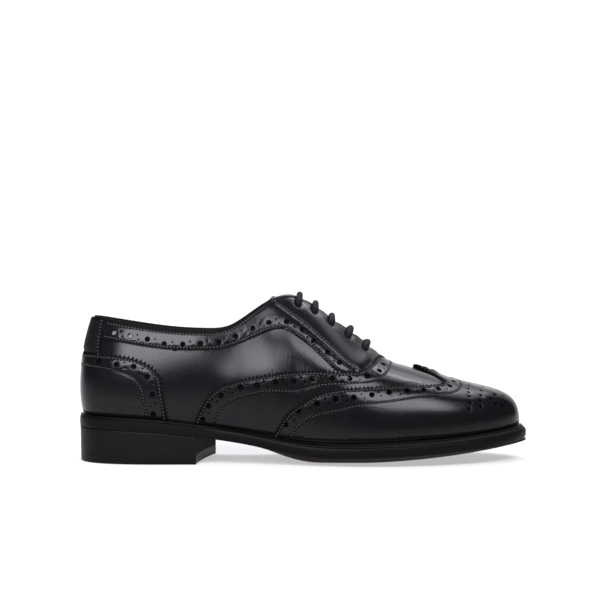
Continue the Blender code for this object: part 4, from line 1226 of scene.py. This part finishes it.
# Width and height, in mm, of swells, dips and dents
THROAT_GROOVE = (0.5, -0.2)
FACING_DIP = (2.2, -0.8)
LACE_DENT = (1.9, -0.9)
DENT_LEAN = 1.6
DENT_POINTS = 9
BAND_PUFF = (2.4, 0.25)
BAND_DIP = (2.2, -0.6)
BAND_FACING_DIP = (1.6, -0.4)
# Width, in mm, of the painted shade along each edge
FACING_DARK = 0.4
TEETH_DARK = 0.6
BAND_DARK = 0.4
COLLAR_DARK = 1.7


def down_rib(loop, distance):
    """Height t that lies a distance in mm below the top of one rib."""
    t = np.linspace(1, 0, RIB_POINTS)
    points = skin(np.full(RIB_POINTS, float(loop)), t)
    return float(np.interp(distance, reach_along(points), t))


ridge_stations = np.linspace(45, 70, 300)
EYELET_STATIONS = np.interp(FIRST_EYELET + EYELET_PITCH * np.arange(EYELETS), RIBS(ridge_stations)[:, 0],
                            ridge_stations)

facing_back = curve_through(FACING_LINE)
heel_vamp = curve_through(VAMP_EDGE)
under_vamp = moved_left(heel_vamp, UNDER_VAMP)
facing_front = under_vamp[(under_vamp[:, 0] > FACING_LINE[-1][0] * FLAT_STATION + FACING_STOP)
                          & (under_vamp[:, 1] > 2 * TOP * FLAT_GIRTH)]
facing_throat = curve_through(((facing_front[-1][0] / FLAT_STATION, TOP), (FACING_LINE[0][0], TOP)))
facing_line = closed_line(facing_back, facing_front, facing_throat)
band_lower = curve_through(BAND_EDGE)
band_front = moved_left(facing_back, -UNDER_FACING)[::-1]
band_start = BAND_EDGE[0][0] - BAND_BACK
band_low_corner = flat_points(((band_start, BAND_EDGE[0][1]),))
band_rim = curve_through(((FACING_LINE[0][0] + BAND_RIM, TOP), (band_start, TOP)))


def make_facing(side, place):
    """Facing of one side, with its eyelets and the dents of the lace."""
    row = edge_row(facing_back, place, FACING_ROW)
    throat = edge_row(facing_throat, place, THROAT_STITCH)
    loops = EYELET_STATIONS if side == "outer" else LOOP - EYELET_STATIONS
    eyelets = flat_points([(station, 1 - down_rib(loop, EYELET_DOWN))
                           for station, loop in zip(EYELET_STATIONS, loops)])
    features = groove(row) + [(throat, *THROAT_GROOVE), (heel_vamp, *FACING_DIP)]
    for hole in eyelets:
        at_edge = hole * (1, 0) + (DENT_LEAN, 0.0)
        features.append((np.linspace(hole, at_edge, DENT_POINTS), *LACE_DENT))
    top = height_map(place, FACING_TOP, features)
    cut_leather("facing_fine_" + side, "facing_" + side, facing_line, place, top,
                [(eyelets, EYELET_RADIUS, EYELET_CORNERS)], (row, throat),
                dark=((facing_line, FACING_DARK),))
    return [(row, place, top)]


def make_band(side, place):
    """Band of one side, along the collar and the facing."""
    toothed = pinked(band_lower, place, *BAND_TEETH)
    line = closed_line(band_low_corner, toothed, flat_points(BAND_END), band_front, band_rim)
    row = edge_row(band_lower, place, BAND_ROW)
    collar = edge_row(curve_through(COLLAR_LINE), place, COLLAR_ROW)
    big, small = brogue_holes(BAND_HOLES, place)
    features = groove(row) + groove(collar) + [(curve_through(BAND_HOLES), *BAND_PUFF)]
    features += [(heel_vamp, *BAND_DIP), (facing_back, *BAND_FACING_DIP)]
    top = height_map(place, BAND_TOP, features)
    cut_leather("band_fine_" + side, "topline_band_" + side, line, place, top,
                [(big, BIG_HOLE, BIG_CORNERS), (small, SMALL_HOLE, SMALL_CORNERS)], (row, collar),
                dark=((toothed, TEETH_DARK), (band_front, BAND_DARK), (band_rim, COLLAR_DARK)))
    return [(row, place, top), (collar, place, top)]


for side, place in (("outer", round_heel), ("inner", inner_side)):
    THREAD_ROWS += make_facing(side, place) + make_band(side, place)

# %% [markdown]
# ## The wall of the upper
# Under the overlays one lasted wall carries everything, and between them it shows as the quarter. Its
# inner face is the pale lining and its rim is rolled. Behind the punched holes the wall gets painted
# shade: a dead black, matte finish that stands for the shade inside each hole. Only the outer band's two
# holes nearest the heel get a pale patch there instead, a painted highlight, as in the photo.

# %% Upper
WALL_RIBS = 420
WALL_ROWS = 46
RIM_STEPS = 5
RIM_BELOW = 0.02
THROAT_FADE = 2.0
DARK_ROWS = 5
HOLE_SHADE_REACH = 2.3
PALE_REACH = 1.6
PALE_HOLES = 2
WALL_FINISHES = (CALF, LINING, HOLE_SHADE, RAW_EDGE_AND_SHADE, HOLE_HIGHLIGHT)
OUTSIDE, INSIDE, IN_HOLE_SHADE, RIM, HIGHLIGHT_IN_HOLE = range(len(WALL_FINISHES))


def ring_faces(first, second, count):
    """Quads between two rings of points that start at these indices."""
    return [(first + i, first + (i + 1) % count, second + (i + 1) % count, second + i)
            for i in range(count)]


def wall_points():
    """Rows of the wall from the outer bottom edge over the rim to the inner bottom edge."""
    loop = np.linspace(0, LOOP, WALL_RIBS, endpoint=False)
    rows = [lifted(loop, np.full(WALL_RIBS, t), 0.0) for t in np.linspace(0, 1, WALL_ROWS)]
    top = np.ones(WALL_RIBS)
    for a in np.linspace(0, math.pi, RIM_STEPS + 2)[1:-1]:
        edge = lifted(loop, top, -WALL / 2 + WALL / 2 * math.cos(a))
        up = unit(skin(loop, top) - skin(loop, top - RIM_BELOW))
        open_here = smoothstep((STATIONS[THROAT_END_ROW] - station_of(loop)) / THROAT_FADE)
        rows.append(edge + up * (open_here * WALL / 2 * math.sin(a))[:, None])
    rows += [lifted(loop, np.full(WALL_RIBS, t), -WALL) for t in np.linspace(1, 0, WALL_ROWS)]
    return np.array(rows)


def make_upper():
    """Closed wall: the ridge is joined where the throat is closed, and open before it."""
    rows = wall_points()
    count = len(rows)
    half = WALL_RIBS // 2
    station = station_of(np.linspace(0, LOOP, WALL_RIBS, endpoint=False))
    closed = station >= STATIONS[THROAT_END_ROW]
    first_in = count - WALL_ROWS

    def at(row, rib):
        rib %= WALL_RIBS
        if closed[rib] and WALL_ROWS - 1 <= row <= first_in and rib > half:
            rib = WALL_RIBS - rib
        return row * WALL_RIBS + rib

    faces = []
    pick = []
    for row in range(count):
        after = (row + 1) % count
        in_rim = WALL_ROWS - 1 <= row < first_in
        # The top outer rows, the rolled rim and the lining's top rows take the cut edge's dark finish
        finish = OUTSIDE if row < WALL_ROWS - 2 else RIM if row < first_in + DARK_ROWS else INSIDE
        for rib in range(WALL_RIBS):
            ahead = (rib + 1) % WALL_RIBS
            if in_rim and closed[rib] and closed[ahead]:
                continue
            faces.append((at(row, rib), at(row, ahead), at(after, ahead), at(after, rib)))
            pick.append(finish)
    points, faces = without_spares(rows.reshape(-1, 3), faces)
    return points, faces, np.array(pick)


def hole_centres():
    """Points on the leather under every punched hole of the overlays."""
    medallion = over_ridge(MEDALLION + MEDALLION_BIG + MEDALLION_DOTS)
    band = np.concatenate(brogue_holes(BAND_HOLES, inner_side))
    placed = ((np.concatenate((wing_big, wing_small, medallion, vamp_big, vamp_small)), over_top),
              (np.concatenate((counter_big, counter_small)), round_heel),
              (band, round_heel), (band, inner_side))
    return np.concatenate([skin(*place(centres)) for centres, place in placed])


upper_points, upper_faces, upper_pick = make_upper()
upper_centres = np.array([upper_points[list(face)].mean(axis=0) for face in upper_faces])
# Painted shade: wall faces under every punched hole take the dead black finish
behind = (upper_pick == OUTSIDE) & (nearest(upper_centres, hole_centres()) < HOLE_SHADE_REACH)
upper_pick[behind] = IN_HOLE_SHADE
# Painted highlight: under the band's two holes nearest the heel the wall is pale
pale_points = skin(*round_heel(flat_points(BAND_HOLES[:PALE_HOLES])))
pale = (upper_pick == IN_HOLE_SHADE) & (nearest(upper_centres, pale_points) < PALE_REACH)
upper_pick[pale] = HIGHLIGHT_IN_HOLE
upper = add_piece("upper_fine", upper_points, upper_faces, WALL_FINISHES, ("upper",),
                  upper_pick)

# %% [markdown]
# ## Stitches
# Each stitch is a short thick thread whose ends dip into the leather. One small shape is copied along
# all rows with arrays, turned to the row's direction and the leather's normal, so over a thousand stitches
# are one mesh and each lies in the groove that was made for it. Thread and lace are both spun cotton, so the
# look of the fibres is one node group, which each places with its own colours.

# %% Stitches
STITCH_PITCH = 2.15
STITCH_LONG = 1.2
STITCH_RINGS = 6
ROW_BARE = 1.2
THREAD_RADIUS = 0.34
THREAD_SIDES = 6
THREAD_TAPER = 0.35
THREAD_RISE = 0.16
THREAD_DIP = 0.42


def make_fibre_group():
    """Colour and relief of spun cotton, from a position on the shoe."""
    group, given, result = new_group(
        "cotton_fibre",
        (("Dark Colour", "NodeSocketColor", (0.01, 0.01, 0.01, 1)),
         ("Light Colour", "NodeSocketColor", (0.04, 0.04, 0.04, 1)),
         ("Fibres per Metre", "NodeSocketFloat", 3000.0),
         ("Detail", "NodeSocketFloat", 2.0)),
        (("Colour", "NodeSocketColor"), ("Height", "NodeSocketFloat")))
    place = group.nodes.new("ShaderNodeTexCoord").outputs["Object"]
    fibre = noise_node(group, place, given["Fibres per Metre"], given["Detail"])
    colour = mixed_colour(group, fibre, given["Dark Colour"], given["Light Colour"])
    group.links.new(colour, result["Colour"])
    group.links.new(fibre, result["Height"])
    return group


FIBRE = make_fibre_group()


def cotton(name, dark, light, fibres, detail, strength, roughness, specular, sheen=0.0):
    """Waxed cotton material; its fibres change colour and relief, the rest is even."""
    values = ((*dark, 1), (*light, 1), fibres, detail)
    material, shader = material_from(name, FIBRE, values, strength)
    shader.inputs["Roughness"].default_value = roughness
    shader.inputs["Specular IOR Level"].default_value = specular
    shader.inputs["Sheen Weight"].default_value = sheen
    return material


# Thread colour is partly its own dark grey and partly painted highlight, so stitches show as light specks
THREAD_PAINTED_SHEEN = cotton("black_thread_painted_sheen", (0.012, 0.012, 0.0125), (0.045, 0.045, 0.047),
                fibres=3000.0, detail=2.0, strength=0.5, roughness=0.38, specular=0.4)


def tube_faces(rings, count):
    """Faces of a closed tube through rings of points, with one face over each end."""
    faces = []
    for ring in range(rings - 1):
        faces += ring_faces(ring * count, (ring + 1) * count, count)
    return faces + [tuple(range(count))[::-1], tuple(range((rings - 1) * count, rings * count))]


def stitch_shape():
    """Points (along, across, up) of one stitch, ring by ring, with its faces."""
    turn = np.arange(THREAD_SIDES) * 2 * math.pi / THREAD_SIDES
    points = []
    for step in np.linspace(-1, 1, STITCH_RINGS):
        along = step * STITCH_LONG / 2
        radius = THREAD_RADIUS * (1 - THREAD_TAPER * step ** 4)
        rise = THREAD_RISE - THREAD_DIP * step ** 4
        points += [(along, radius * math.cos(a), rise + radius * math.sin(a)) for a in turn]
    return np.array(points), tube_faces(STITCH_RINGS, THREAD_SIDES)


def make_stitches():
    """All stitch rows as one mesh."""
    shape, shape_faces = stitch_shape()
    points = []
    faces = []
    for row, place, top in THREAD_ROWS:
        spots = walk(row, place, STITCH_PITCH, ROW_BARE)
        along, left = directions(spots, place)
        loop, t = place(spots)
        centre = lifted(loop, t, top(spots))
        up = np.cross(along, left)
        up *= np.sign((up * skin_normal(loop, t)).sum(1))[:, None]
        for spot, ahead, side, out in zip(centre, along, left, up):
            start = len(points) * len(shape)
            points.append(spot + shape[:, :1] * ahead + shape[:, 1:2] * side + shape[:, 2:] * out)
            faces += [tuple(start + corner for corner in face) for face in shape_faces]
    add_piece("stitches", np.concatenate(points), faces, (THREAD_PAINTED_SHEEN,))


make_stitches()

# %% [markdown]
# ## Lace
# A waxed round lace crosses the throat in five straight bars. It goes down through one eyelet, along
# under the facing to the next, and back under the inner facing, so its ends stay hidden at the top
# eyelets. The braid is real relief: two sets of strands that wind opposite ways and pass over each other.

# %% Lace through the eyelets
LACE_RADIUS = 2.15
LACE_OVER = 2.3
LACE_UNDER = -4.3
RETURN_DOWN = 13.5
LACE_RISE = ((0.0, -3.1), (0.0, -0.6), (0.0, 1.2), (0.8, 2.1), (3.0, LACE_OVER), (8.7, LACE_OVER))
LACE_STEP = ((0.25, LACE_UNDER), (0.5, LACE_UNDER), (0.75, LACE_UNDER))
LACE_PITCH = 0.3
LACE_SIDES = 30
STRANDS = 5
STRAND_TURN = 5.5
STRAND_RELIEF = 0.07
RETURN_POINTS = 8
RETURN_FROM = 0.08
RETURN_STEEP = 4
CURVE_STEPS = 12


def beside_throat(station, side, down, offset):
    """Point on one facing, a distance below the throat's edge, at an offset from the wall."""
    loop = station if side < 0 else LOOP - station
    return lifted((loop,), (down_rib(loop, down),), offset)[0]


def lace_route():
    """Points of the lace: bar by bar down the throat, then back up under the inner facing."""
    route = []
    for index, station in enumerate(EYELET_STATIONS):
        start = -1 if index % 2 == 0 else 1
        for side, steps in ((start, LACE_RISE), (-start, LACE_RISE[::-1])):
            route += [beside_throat(station, side, EYELET_DOWN - back, offset) for back, offset in steps]
        if index + 1 < EYELETS:
            ahead = EYELET_STATIONS[index + 1]
            for share, offset in LACE_STEP:
                here = station + (ahead - station) * share
                route.append(beside_throat(here, -start, EYELET_DOWN, offset))
    last = EYELET_STATIONS[-1]
    for share in np.linspace(RETURN_FROM, 1.0, RETURN_POINTS):
        down = EYELET_DOWN + (RETURN_DOWN - EYELET_DOWN) * min(1.0, share * RETURN_STEEP)
        route.append(beside_throat(last + (EYELET_STATIONS[0] - last) * share, 1, down, LACE_UNDER))
    return np.array(route)


def even_points(route, pitch):
    """Smooth curve through the route, read at an even pitch, and its length."""
    padded = np.concatenate((2 * route[:1] - route[1:2], route, 2 * route[-1:] - route[-2:-1]))
    b = np.linspace(0, 1, CURVE_STEPS, endpoint=False)[:, None]
    fine = []
    for p0, p1, p2, p3 in zip(padded, padded[1:], padded[2:], padded[3:]):
        fine.extend(0.5 * (2 * p1 + (p2 - p0) * b + (2 * p0 - 5 * p1 + 4 * p2 - p3) * b ** 2
                           + (3 * p1 - p0 - 3 * p2 + p3) * b ** 3))
    fine = np.array(fine + [route[-1]])
    reach = reach_along(fine)
    even = np.linspace(0, reach[-1], round(reach[-1] / pitch) + 1)
    return read_rows(even, reach, fine), reach[-1]


LACE = cotton("black_lace", (0.0015, 0.0015, 0.0017), (0.006, 0.006, 0.0066),
              fibres=2600.0, detail=3.0, strength=0.6, roughness=0.7, specular=0.08, sheen=0.02)


def make_lace():
    """Braided tube along the route."""
    line, length = even_points(lace_route(), LACE_PITCH)
    along = unit(np.gradient(line, axis=0))
    across = []
    side = np.array((0.0, 0.0, 1.0))
    for ahead in along:
        side = side - ahead * (side @ ahead)
        side = side / np.linalg.norm(side)
        across.append(side)
    across = np.array(across)
    other = np.cross(along, across)
    turn = np.arange(LACE_SIDES) * 2 * math.pi / LACE_SIDES
    points = []
    for index, centre in enumerate(line):
        wind = index * LACE_PITCH / STRAND_TURN * 2 * math.pi
        one_way = np.cos(STRANDS * (turn + wind / STRANDS * 2))
        other_way = np.cos(STRANDS * (turn - wind / STRANDS * 2))
        radius = LACE_RADIUS * (1 - STRAND_RELIEF + STRAND_RELIEF * np.maximum(one_way, other_way))
        wide = np.outer(radius * np.cos(turn), across[index])
        high = np.outer(radius * np.sin(turn), other[index])
        points.append(centre + wide + high)
    add_piece("lace_fine", np.concatenate(points), tube_faces(len(line), LACE_SIDES), (LACE,),
              ("lace",), corner=80.0)
    print("lace length", round(length, 1), "mm")


make_lace()

# %% [markdown]
# ## Eyelet holes
# The lace passes through the wall as well as the facings. The punch is one short cylinder per eyelet,
# and a boolean takes all of them out of the wall at once, so the holes are round whatever mesh they cut.

# %% Eyelet holes through the wall
PUNCH_REACH = 5.0


def punch_upper(piece):
    """Cut the eyelet holes through the wall, where the facings have theirs."""
    work = bmesh.new()
    for station in EYELET_STATIONS:
        for side in (-1, 1):
            low = Vector(to_frame(beside_throat(station, side, EYELET_DOWN, -PUNCH_REACH)))
            high = Vector(to_frame(beside_throat(station, side, EYELET_DOWN, PUNCH_REACH)))
            made = bmesh.ops.create_cone(work, cap_ends=True, segments=EYELET_CORNERS,
                                         radius1=EYELET_RADIUS * MM, radius2=EYELET_RADIUS * MM,
                                         depth=(high - low).length)
            turn = (high - low).to_track_quat("Z", "Y").to_matrix()
            bmesh.ops.rotate(work, verts=made["verts"], cent=(0, 0, 0), matrix=turn)
            bmesh.ops.translate(work, verts=made["verts"], vec=(low + high) / 2)
    mesh = bpy.data.meshes.new("eyelet_punch")
    work.to_mesh(mesh)
    work.free()
    punch = bpy.data.objects.new("eyelet_punch", mesh)
    bpy.context.scene.collection.objects.link(punch)
    cut = piece.modifiers.new("eyelets", "BOOLEAN")
    cut.operation = "DIFFERENCE"
    cut.object = punch
    bpy.context.view_layer.update()
    shaped = piece.evaluated_get(bpy.context.evaluated_depsgraph_get())
    finished = bpy.data.meshes.new_from_object(shaped)
    piece.modifiers.clear()
    piece.data = finished
    bpy.data.objects.remove(punch)
    print("upper faces after punching", len(finished.polygons))


punch_upper(upper)

# %% [markdown]
# ## Tongue and insole
# The tongue is a leather sheet that follows the throat from below and shows its tip above the collar. It
# is made from rows across the shoe, like the solid, but with many more rows. The insole closes the shoe's
# floor inside; it is a layer between two rings, capped across.

# %% Tongue and insole
TONGUE_THICK = 2.0
TONGUE_CROWN = 0.55
TONGUE_ROUND = 47.4
TIP_FLATTER = 0.65
TONGUE_FINE = 45
TONGUE_ACROSS = np.linspace(1.0, 0.12, 9)
TONGUE_ROWS = ((69.5, 2.4, 14.0), (66.5, 3.6, 15.5), (64.2, 6.5, 17.0), (58.0, 6.5, 19.0),
               (52.0, 6.5, 21.0), (48.6, 6.3, 21.0), (47.1, 4.6, 19.0), (45.8, 3.2, 15.0))
LAYER_CORNER = 50.0
SEAT_POINTS = 300
END_POINTS = 30
PAST_ENDS = 10.0
INSOLE = 3.0
INSOLE_INSET = -(WALL + 0.7)


def tongue_row(station, depth, half):
    """Points across the tongue at one station, from outer side to inner."""
    sides = []
    tops = []
    for loop in (station, LOOP - station):
        heights = np.array([down_rib(loop, half * share) for share in TONGUE_ACROSS])
        at = np.full(len(heights), loop)
        sides.append(lifted(at, heights, -depth))
        one = np.array((loop,))
        tops.append(lifted(one, np.ones(1), -depth))
    middle = (tops[0] + tops[1]) / 2
    to_tip = (TONGUE_ROUND - station) / (TONGUE_ROUND - TONGUE_ROWS[-1][0])
    crown = TONGUE_CROWN * (1 - TIP_FLATTER * smoothstep(to_tip))
    middle[:, 2] += crown * abs(tops[0][0, 1] - tops[1][0, 1]) / 2
    return np.concatenate((sides[0], middle, sides[1][::-1]))


def make_tongue():
    """Curved sheet with a rounded edge."""
    rows = np.array(TONGUE_ROWS)
    values = read_rows(np.linspace(0, len(rows) - 1, TONGUE_FINE), np.arange(len(rows)), rows)
    outer = np.array([tongue_row(*value) for value in values])
    inner = np.array([tongue_row(value[0], value[1] + TONGUE_THICK, value[2]) for value in values])
    long, wide = outer.shape[:2]
    lower = long * wide
    faces = []
    for i in range(long - 1):
        for j in range(wide - 1):
            quad = (i * wide + j, i * wide + j + 1, (i + 1) * wide + j + 1, (i + 1) * wide + j)
            faces.append(quad)
            faces.append(tuple(lower + corner for corner in reversed(quad)))
    rim = [i * wide for i in range(long)] + [(long - 1) * wide + j for j in range(1, wide)]
    rim += [i * wide + wide - 1 for i in range(long - 2, -1, -1)] + list(range(wide - 2, 0, -1))
    faces += [(a, b, lower + b, lower + a) for a, b in zip(rim, rim[1:] + rim[:1])]
    points = np.concatenate((outer.reshape(-1, 3), inner.reshape(-1, 3)))
    add_piece("tongue_fine", points, faces, (CALF,), ("tongue",), corner=60.0)


def cap_faces(start, count):
    """Strips across one ring, from each outer-side point to its inner-side partner."""
    tip = count // 2
    end = start + count
    faces = [(start, start + 1, end - 1)]
    faces += [(start + i, start + i + 1, end - i - 1, end - i) for i in range(1, tip - 1)]
    return faces + [(start + tip - 1, start + tip, start + tip + 1)]


def layer(name, rings, finishes, node, pick_side=None):
    """Closed solid through rings of points round the shoe, capped across at both ends."""
    count = len(rings[0])
    faces = cap_faces(0, count)
    pick = [1 if pick_side is not None else 0] * len(faces)
    for index in range(len(rings) - 1):
        made = ring_faces(index * count, (index + 1) * count, count)
        faces += made
        pick += [1 if pick_side is not None and index < pick_side else 0] * len(made)
    top = cap_faces((len(rings) - 1) * count, count)
    faces += top
    pick += [0] * len(top)
    add_piece(name, np.concatenate(rings), faces, finishes, (node,), pick, LAYER_CORNER)


def level(ring, height):
    """The ring's plan at other heights."""
    moved = ring.copy()
    moved[:, 2] = height
    return moved


def seat_line():
    """Plan position and height along the upper's bottom edge, carried on a little past both ends."""
    edge = FOOT(np.linspace(0, TIP, SEAT_POINTS))
    x, z = edge[:, 0], edge[:, 2]
    heel = (z[END_POINTS] - z[0]) / (x[END_POINTS] - x[0])
    toe = (z[-1] - z[-END_POINTS]) / (x[-1] - x[-END_POINTS])
    x = np.concatenate(((x[0] - PAST_ENDS,), x, (x[-1] + PAST_ENDS,)))
    z = np.concatenate(((z[0] - heel * PAST_ENDS,), z, (z[-1] + toe * PAST_ENDS,)))
    return x, z


SEAT_X, SEAT_Z = seat_line()


def under_seat(ring, depth):
    """The ring's plan, a depth in mm below the line that the upper's bottom edge follows."""
    return level(ring, np.interp(ring[:, 0], SEAT_X, SEAT_Z) - depth)


make_tongue()
insole_edge = outline(EDGE_LOOP, np.full(len(EDGE_LOOP), INSOLE_INSET))
layer("insole_fine", [under_seat(insole_edge, 0.0), under_seat(insole_edge, -INSOLE)], (LINING,),
      "insole")

# %% [markdown]
# ## Welt, midsole and outsole
# Three layers make the sole's edge: a bevelled black welt, a midsole and an outsole, all inked black.
# The edge is convex, so the joints hardly show. The outsole's underside is dark brown leather with an
# arch, a flat spot under the ball and the toe's spring.

# %% Sole layers
WELT_EDGE = 1.2
WELT_FLAT = 2.7
WELT_INSIDE = -6.0
MIDSOLE_EDGE = 3.6
OUTSOLE_EDGE = 2.8
EDGE_ROUND = 0.8
TREAD_FLAT_FROM = 162.0
TREAD_FLAT_TO = 192.0
ARCH_FROM = 115.0
TOE_SPRING = 12.4
SPRING_POWER = 1.6
TREAD_RINGS = ((0.62, 1.0), (0.46, 0.9), (0.3, 0.72), (0.12, 0.32))
WELT_BOTTOM = LIP + WELT_EDGE
MIDSOLE_TOP = WELT_BOTTOM + SEAM_GAP
MIDSOLE_BOTTOM = MIDSOLE_TOP + MIDSOLE_EDGE
OUTSOLE_TOP = MIDSOLE_BOTTOM + SEAM_GAP
OUTSOLE_BOTTOM = OUTSOLE_TOP + OUTSOLE_EDGE
HEEL_BULGE = 0.35
FRONT_BULGE = 0.95
BULGE_FROM = 78.0
BULGE_OVER = 24.0
BULGE_POWER = 2.5
EDGE_STEPS = 7
WELT_STEPS = 5
WELT_INSET = 0.25
LAYER_CHAMFER = 0.1
OUTSOLE_CHAMFER = 0.12
OUTSOLE_INSET = 0.8
# Start of the welt's bevel as shares of margin and lip; its end as mm from the edge and share of lip
BEVEL_START = (0.3, 0.22)
BEVEL_END = (0.7, 0.84)
EDGE_TOP = LIP + SEAM_GAP
EDGE_BULGE = HEEL_BULGE + FRONT_BULGE * smoothstep((SOLE_EDGE[:, 0] - BULGE_FROM) / BULGE_OVER)
FINE_GAP = 0.06


def edge_ring(inset, depth):
    """Ring a little inside the sole's edge, at a depth below the seat line."""
    return under_seat(outline(EDGE_LOOP, MARGIN - inset), depth)


def edge_rings(top, bottom, steps, inset=0.0):
    """Rings down one layer's share of the sole's convex edge."""
    rings = []
    for share in np.linspace(0, 1, steps):
        depth = top + (bottom - top) * share
        down = (depth - EDGE_TOP) / (OUTSOLE_BOTTOM - EDGE_TOP)
        rings.append(edge_ring(inset + EDGE_BULGE * np.abs(2 * down - 1) ** BULGE_POWER, depth))
    return rings


def tread_height(x, edge):
    """Height of the sole's middle: arch, flat spot at the ball, then toe spring."""
    arch = edge * (1 - smoothstep((x - ARCH_FROM) / (TREAD_FLAT_FROM - ARCH_FROM)))
    spring = np.clip((x - TREAD_FLAT_TO) / (LENGTH - TREAD_FLAT_TO), 0, 1) ** SPRING_POWER
    return np.where(x < TREAD_FLAT_FROM, arch, np.minimum(spring * TOE_SPRING, edge))


def make_welt():
    """Bevelled strip that carries the upper's bottom edge."""
    count = len(EDGE_LOOP)
    inside_edge = outline(EDGE_LOOP, np.full(count, WELT_INSIDE))
    flat = outline(EDGE_LOOP, np.full(count, WELT_FLAT))
    soft = outline(EDGE_LOOP, WELT_FLAT + (MARGIN - WELT_FLAT) * BEVEL_START[0])
    rings = [under_seat(inside_edge, WELT_BOTTOM), under_seat(inside_edge, SEAM_GAP),
             under_seat(flat, SEAM_GAP), under_seat(soft, SEAM_GAP + LIP * BEVEL_START[1]),
             edge_ring(EDGE_BULGE + BEVEL_END[0], LIP * BEVEL_END[1] + SEAM_GAP)]
    rings += edge_rings(EDGE_TOP, WELT_BOTTOM - LAYER_CHAMFER, WELT_STEPS, WELT_INSET)
    rings.append(edge_ring(EDGE_ROUND, WELT_BOTTOM))
    faces = []
    for index in range(len(rings)):
        faces += ring_faces(index * count, (index + 1) % len(rings) * count, count)
    add_piece("welt_fine", np.concatenate(rings), faces, (SOLE_SIDE,), ("welt",),
              corner=35.0)


def make_midsole():
    """Second layer, with a raised middle that fills the welt's ring."""
    inner = outline(EDGE_LOOP, np.full(len(EDGE_LOOP), WELT_INSIDE - SEAM_GAP))
    bottom = MIDSOLE_BOTTOM + SEAM_GAP - FINE_GAP
    rings = edge_rings(MIDSOLE_TOP + LAYER_CHAMFER, bottom, EDGE_STEPS)[::-1]
    rings += [edge_ring(EDGE_ROUND, MIDSOLE_TOP), under_seat(inner, MIDSOLE_TOP),
              under_seat(inner, SEAM_GAP)]
    layer("midsole_fine", rings, (SOLE_SIDE,), "midsole")


def make_outsole():
    """Bottom layer: thin at its edge, crowned to a flat spot under the ball."""
    partner = np.roll(SOLE_EDGE[::-1], 1, axis=0)
    middle = (SOLE_EDGE + partner) / 2
    rings = []
    for inward, share in TREAD_RINGS:
        ring = under_seat(SOLE_EDGE * (1 - inward) + middle * inward, OUTSOLE_BOTTOM)
        tread = tread_height(ring[:, 0], ring[:, 2])
        rings.append(level(ring, ring[:, 2] + (tread - ring[:, 2]) * share))
    rings.append(edge_ring(EDGE_BULGE + OUTSOLE_INSET, OUTSOLE_BOTTOM))
    rings += edge_rings(OUTSOLE_TOP, OUTSOLE_BOTTOM - OUTSOLE_CHAMFER, EDGE_STEPS)[::-1]
    layer("outsole_fine", rings, (SOLE_SIDE, SOLE_UNDER), "outsole", len(TREAD_RINGS))


make_welt()
make_midsole()
make_outsole()

# %% [markdown]
# ## Heel
# The stacked heel is inked black round its side and left brown on its slanted, hollow breast. The
# wearing layer under it is black rubber. The side runs down to the floor without a step, because ink and
# polish hide the joints between the lifts.

# %% Heel block and top lift
TOP_LIFT = 6.0
BREAST_MIDDLE = 85.8
BREAST_SLANT = 0.139
BREAST_HOLLOW = 1.5
HEEL_STEPS = 60
BREAST_STEPS = 24
BREAST_STATIONS = np.linspace(20, 45, 400)


def breast_station(side):
    """Station where the heel's slanted breast meets the sole's edge on one side."""
    loop = BREAST_STATIONS if side < 0 else LOOP - BREAST_STATIONS
    edge = outline(loop, SOLE_SIZES(loop)[:, 0])
    return float(np.interp(0, edge[:, 0] - BREAST_MIDDLE - BREAST_SLANT * edge[:, 1], BREAST_STATIONS))


def heel_ring(inset):
    """Closed plan of the heel: round the back from breast corner to corner, then along the breast."""
    outer = np.linspace(breast_station(-1), 0, HEEL_STEPS)
    inner = np.linspace(0, breast_station(1), HEEL_STEPS)[1:]
    loop = np.concatenate((outer, LOOP - inner))
    sides = outline(loop, SOLE_SIZES(loop)[:, 0] - EDGE_ROUND - inset)
    share = np.linspace(0, 1, BREAST_STEPS + 1)[1:-1, None]
    breast = sides[-1] * (1 - share) + sides[0] * share
    breast[:, 0] -= BREAST_HOLLOW * 4 * (share * (1 - share))[:, 0] + inset
    depth = np.append(SOLE_SIZES(loop)[:, 1], np.full(len(breast), SOLE_SIZES(loop)[-1, 1]))
    return np.concatenate((sides, breast)), depth


def heel_part(name, rows, finishes, node):
    """Slab from rows of (inset, height function)."""
    rings = []
    for inset, height in rows:
        plan, lip = heel_ring(inset)
        rings.append(height(plan, lip))
    count = len(rings[0])
    sides = 2 * HEEL_STEPS - 1
    pick = [1 if i >= sides - 1 else 0 for i in range(count)] * (len(rings) - 1) + [1, 1]
    add_piece(name, np.concatenate(rings), tube_faces(len(rings), count), finishes, (node,), pick,
              LAYER_CORNER)


def at_height(height):
    """Height function of a level ring."""
    return lambda plan, lip: level(plan, height)


def under_outsole(down):
    """Height function of a ring that follows the outsole from below."""
    sole = WELT_EDGE + MIDSOLE_EDGE + OUTSOLE_EDGE + 3 * SEAM_GAP
    return lambda plan, lip: under_seat(plan, lip + sole + down)


# Rings from the floor up: how far each is set in, in mm, and its height
LIFT_RINGS = ((0.4, at_height(0.0)), (0.0, at_height(0.4)), (-0.1, at_height(TOP_LIFT)),
              (-0.1, at_height(TOP_LIFT + 0.1)))
BLOCK_RINGS = ((-0.1, at_height(TOP_LIFT + 0.16)), (-0.1, at_height(TOP_LIFT + 0.26)),
               (-0.13, at_height(TOP_LIFT + 0.8)), (-0.47, under_outsole(0.8)),
               (-0.5, under_outsole(0.2)), (-0.3, under_outsole(0.0)))
heel_part("top_lift_fine", LIFT_RINGS, (RUBBER, RUBBER), "top_lift")
heel_part("heel_block_fine", BLOCK_RINGS, (HEEL_SIDE, HEEL_BREAST), "heel_block")
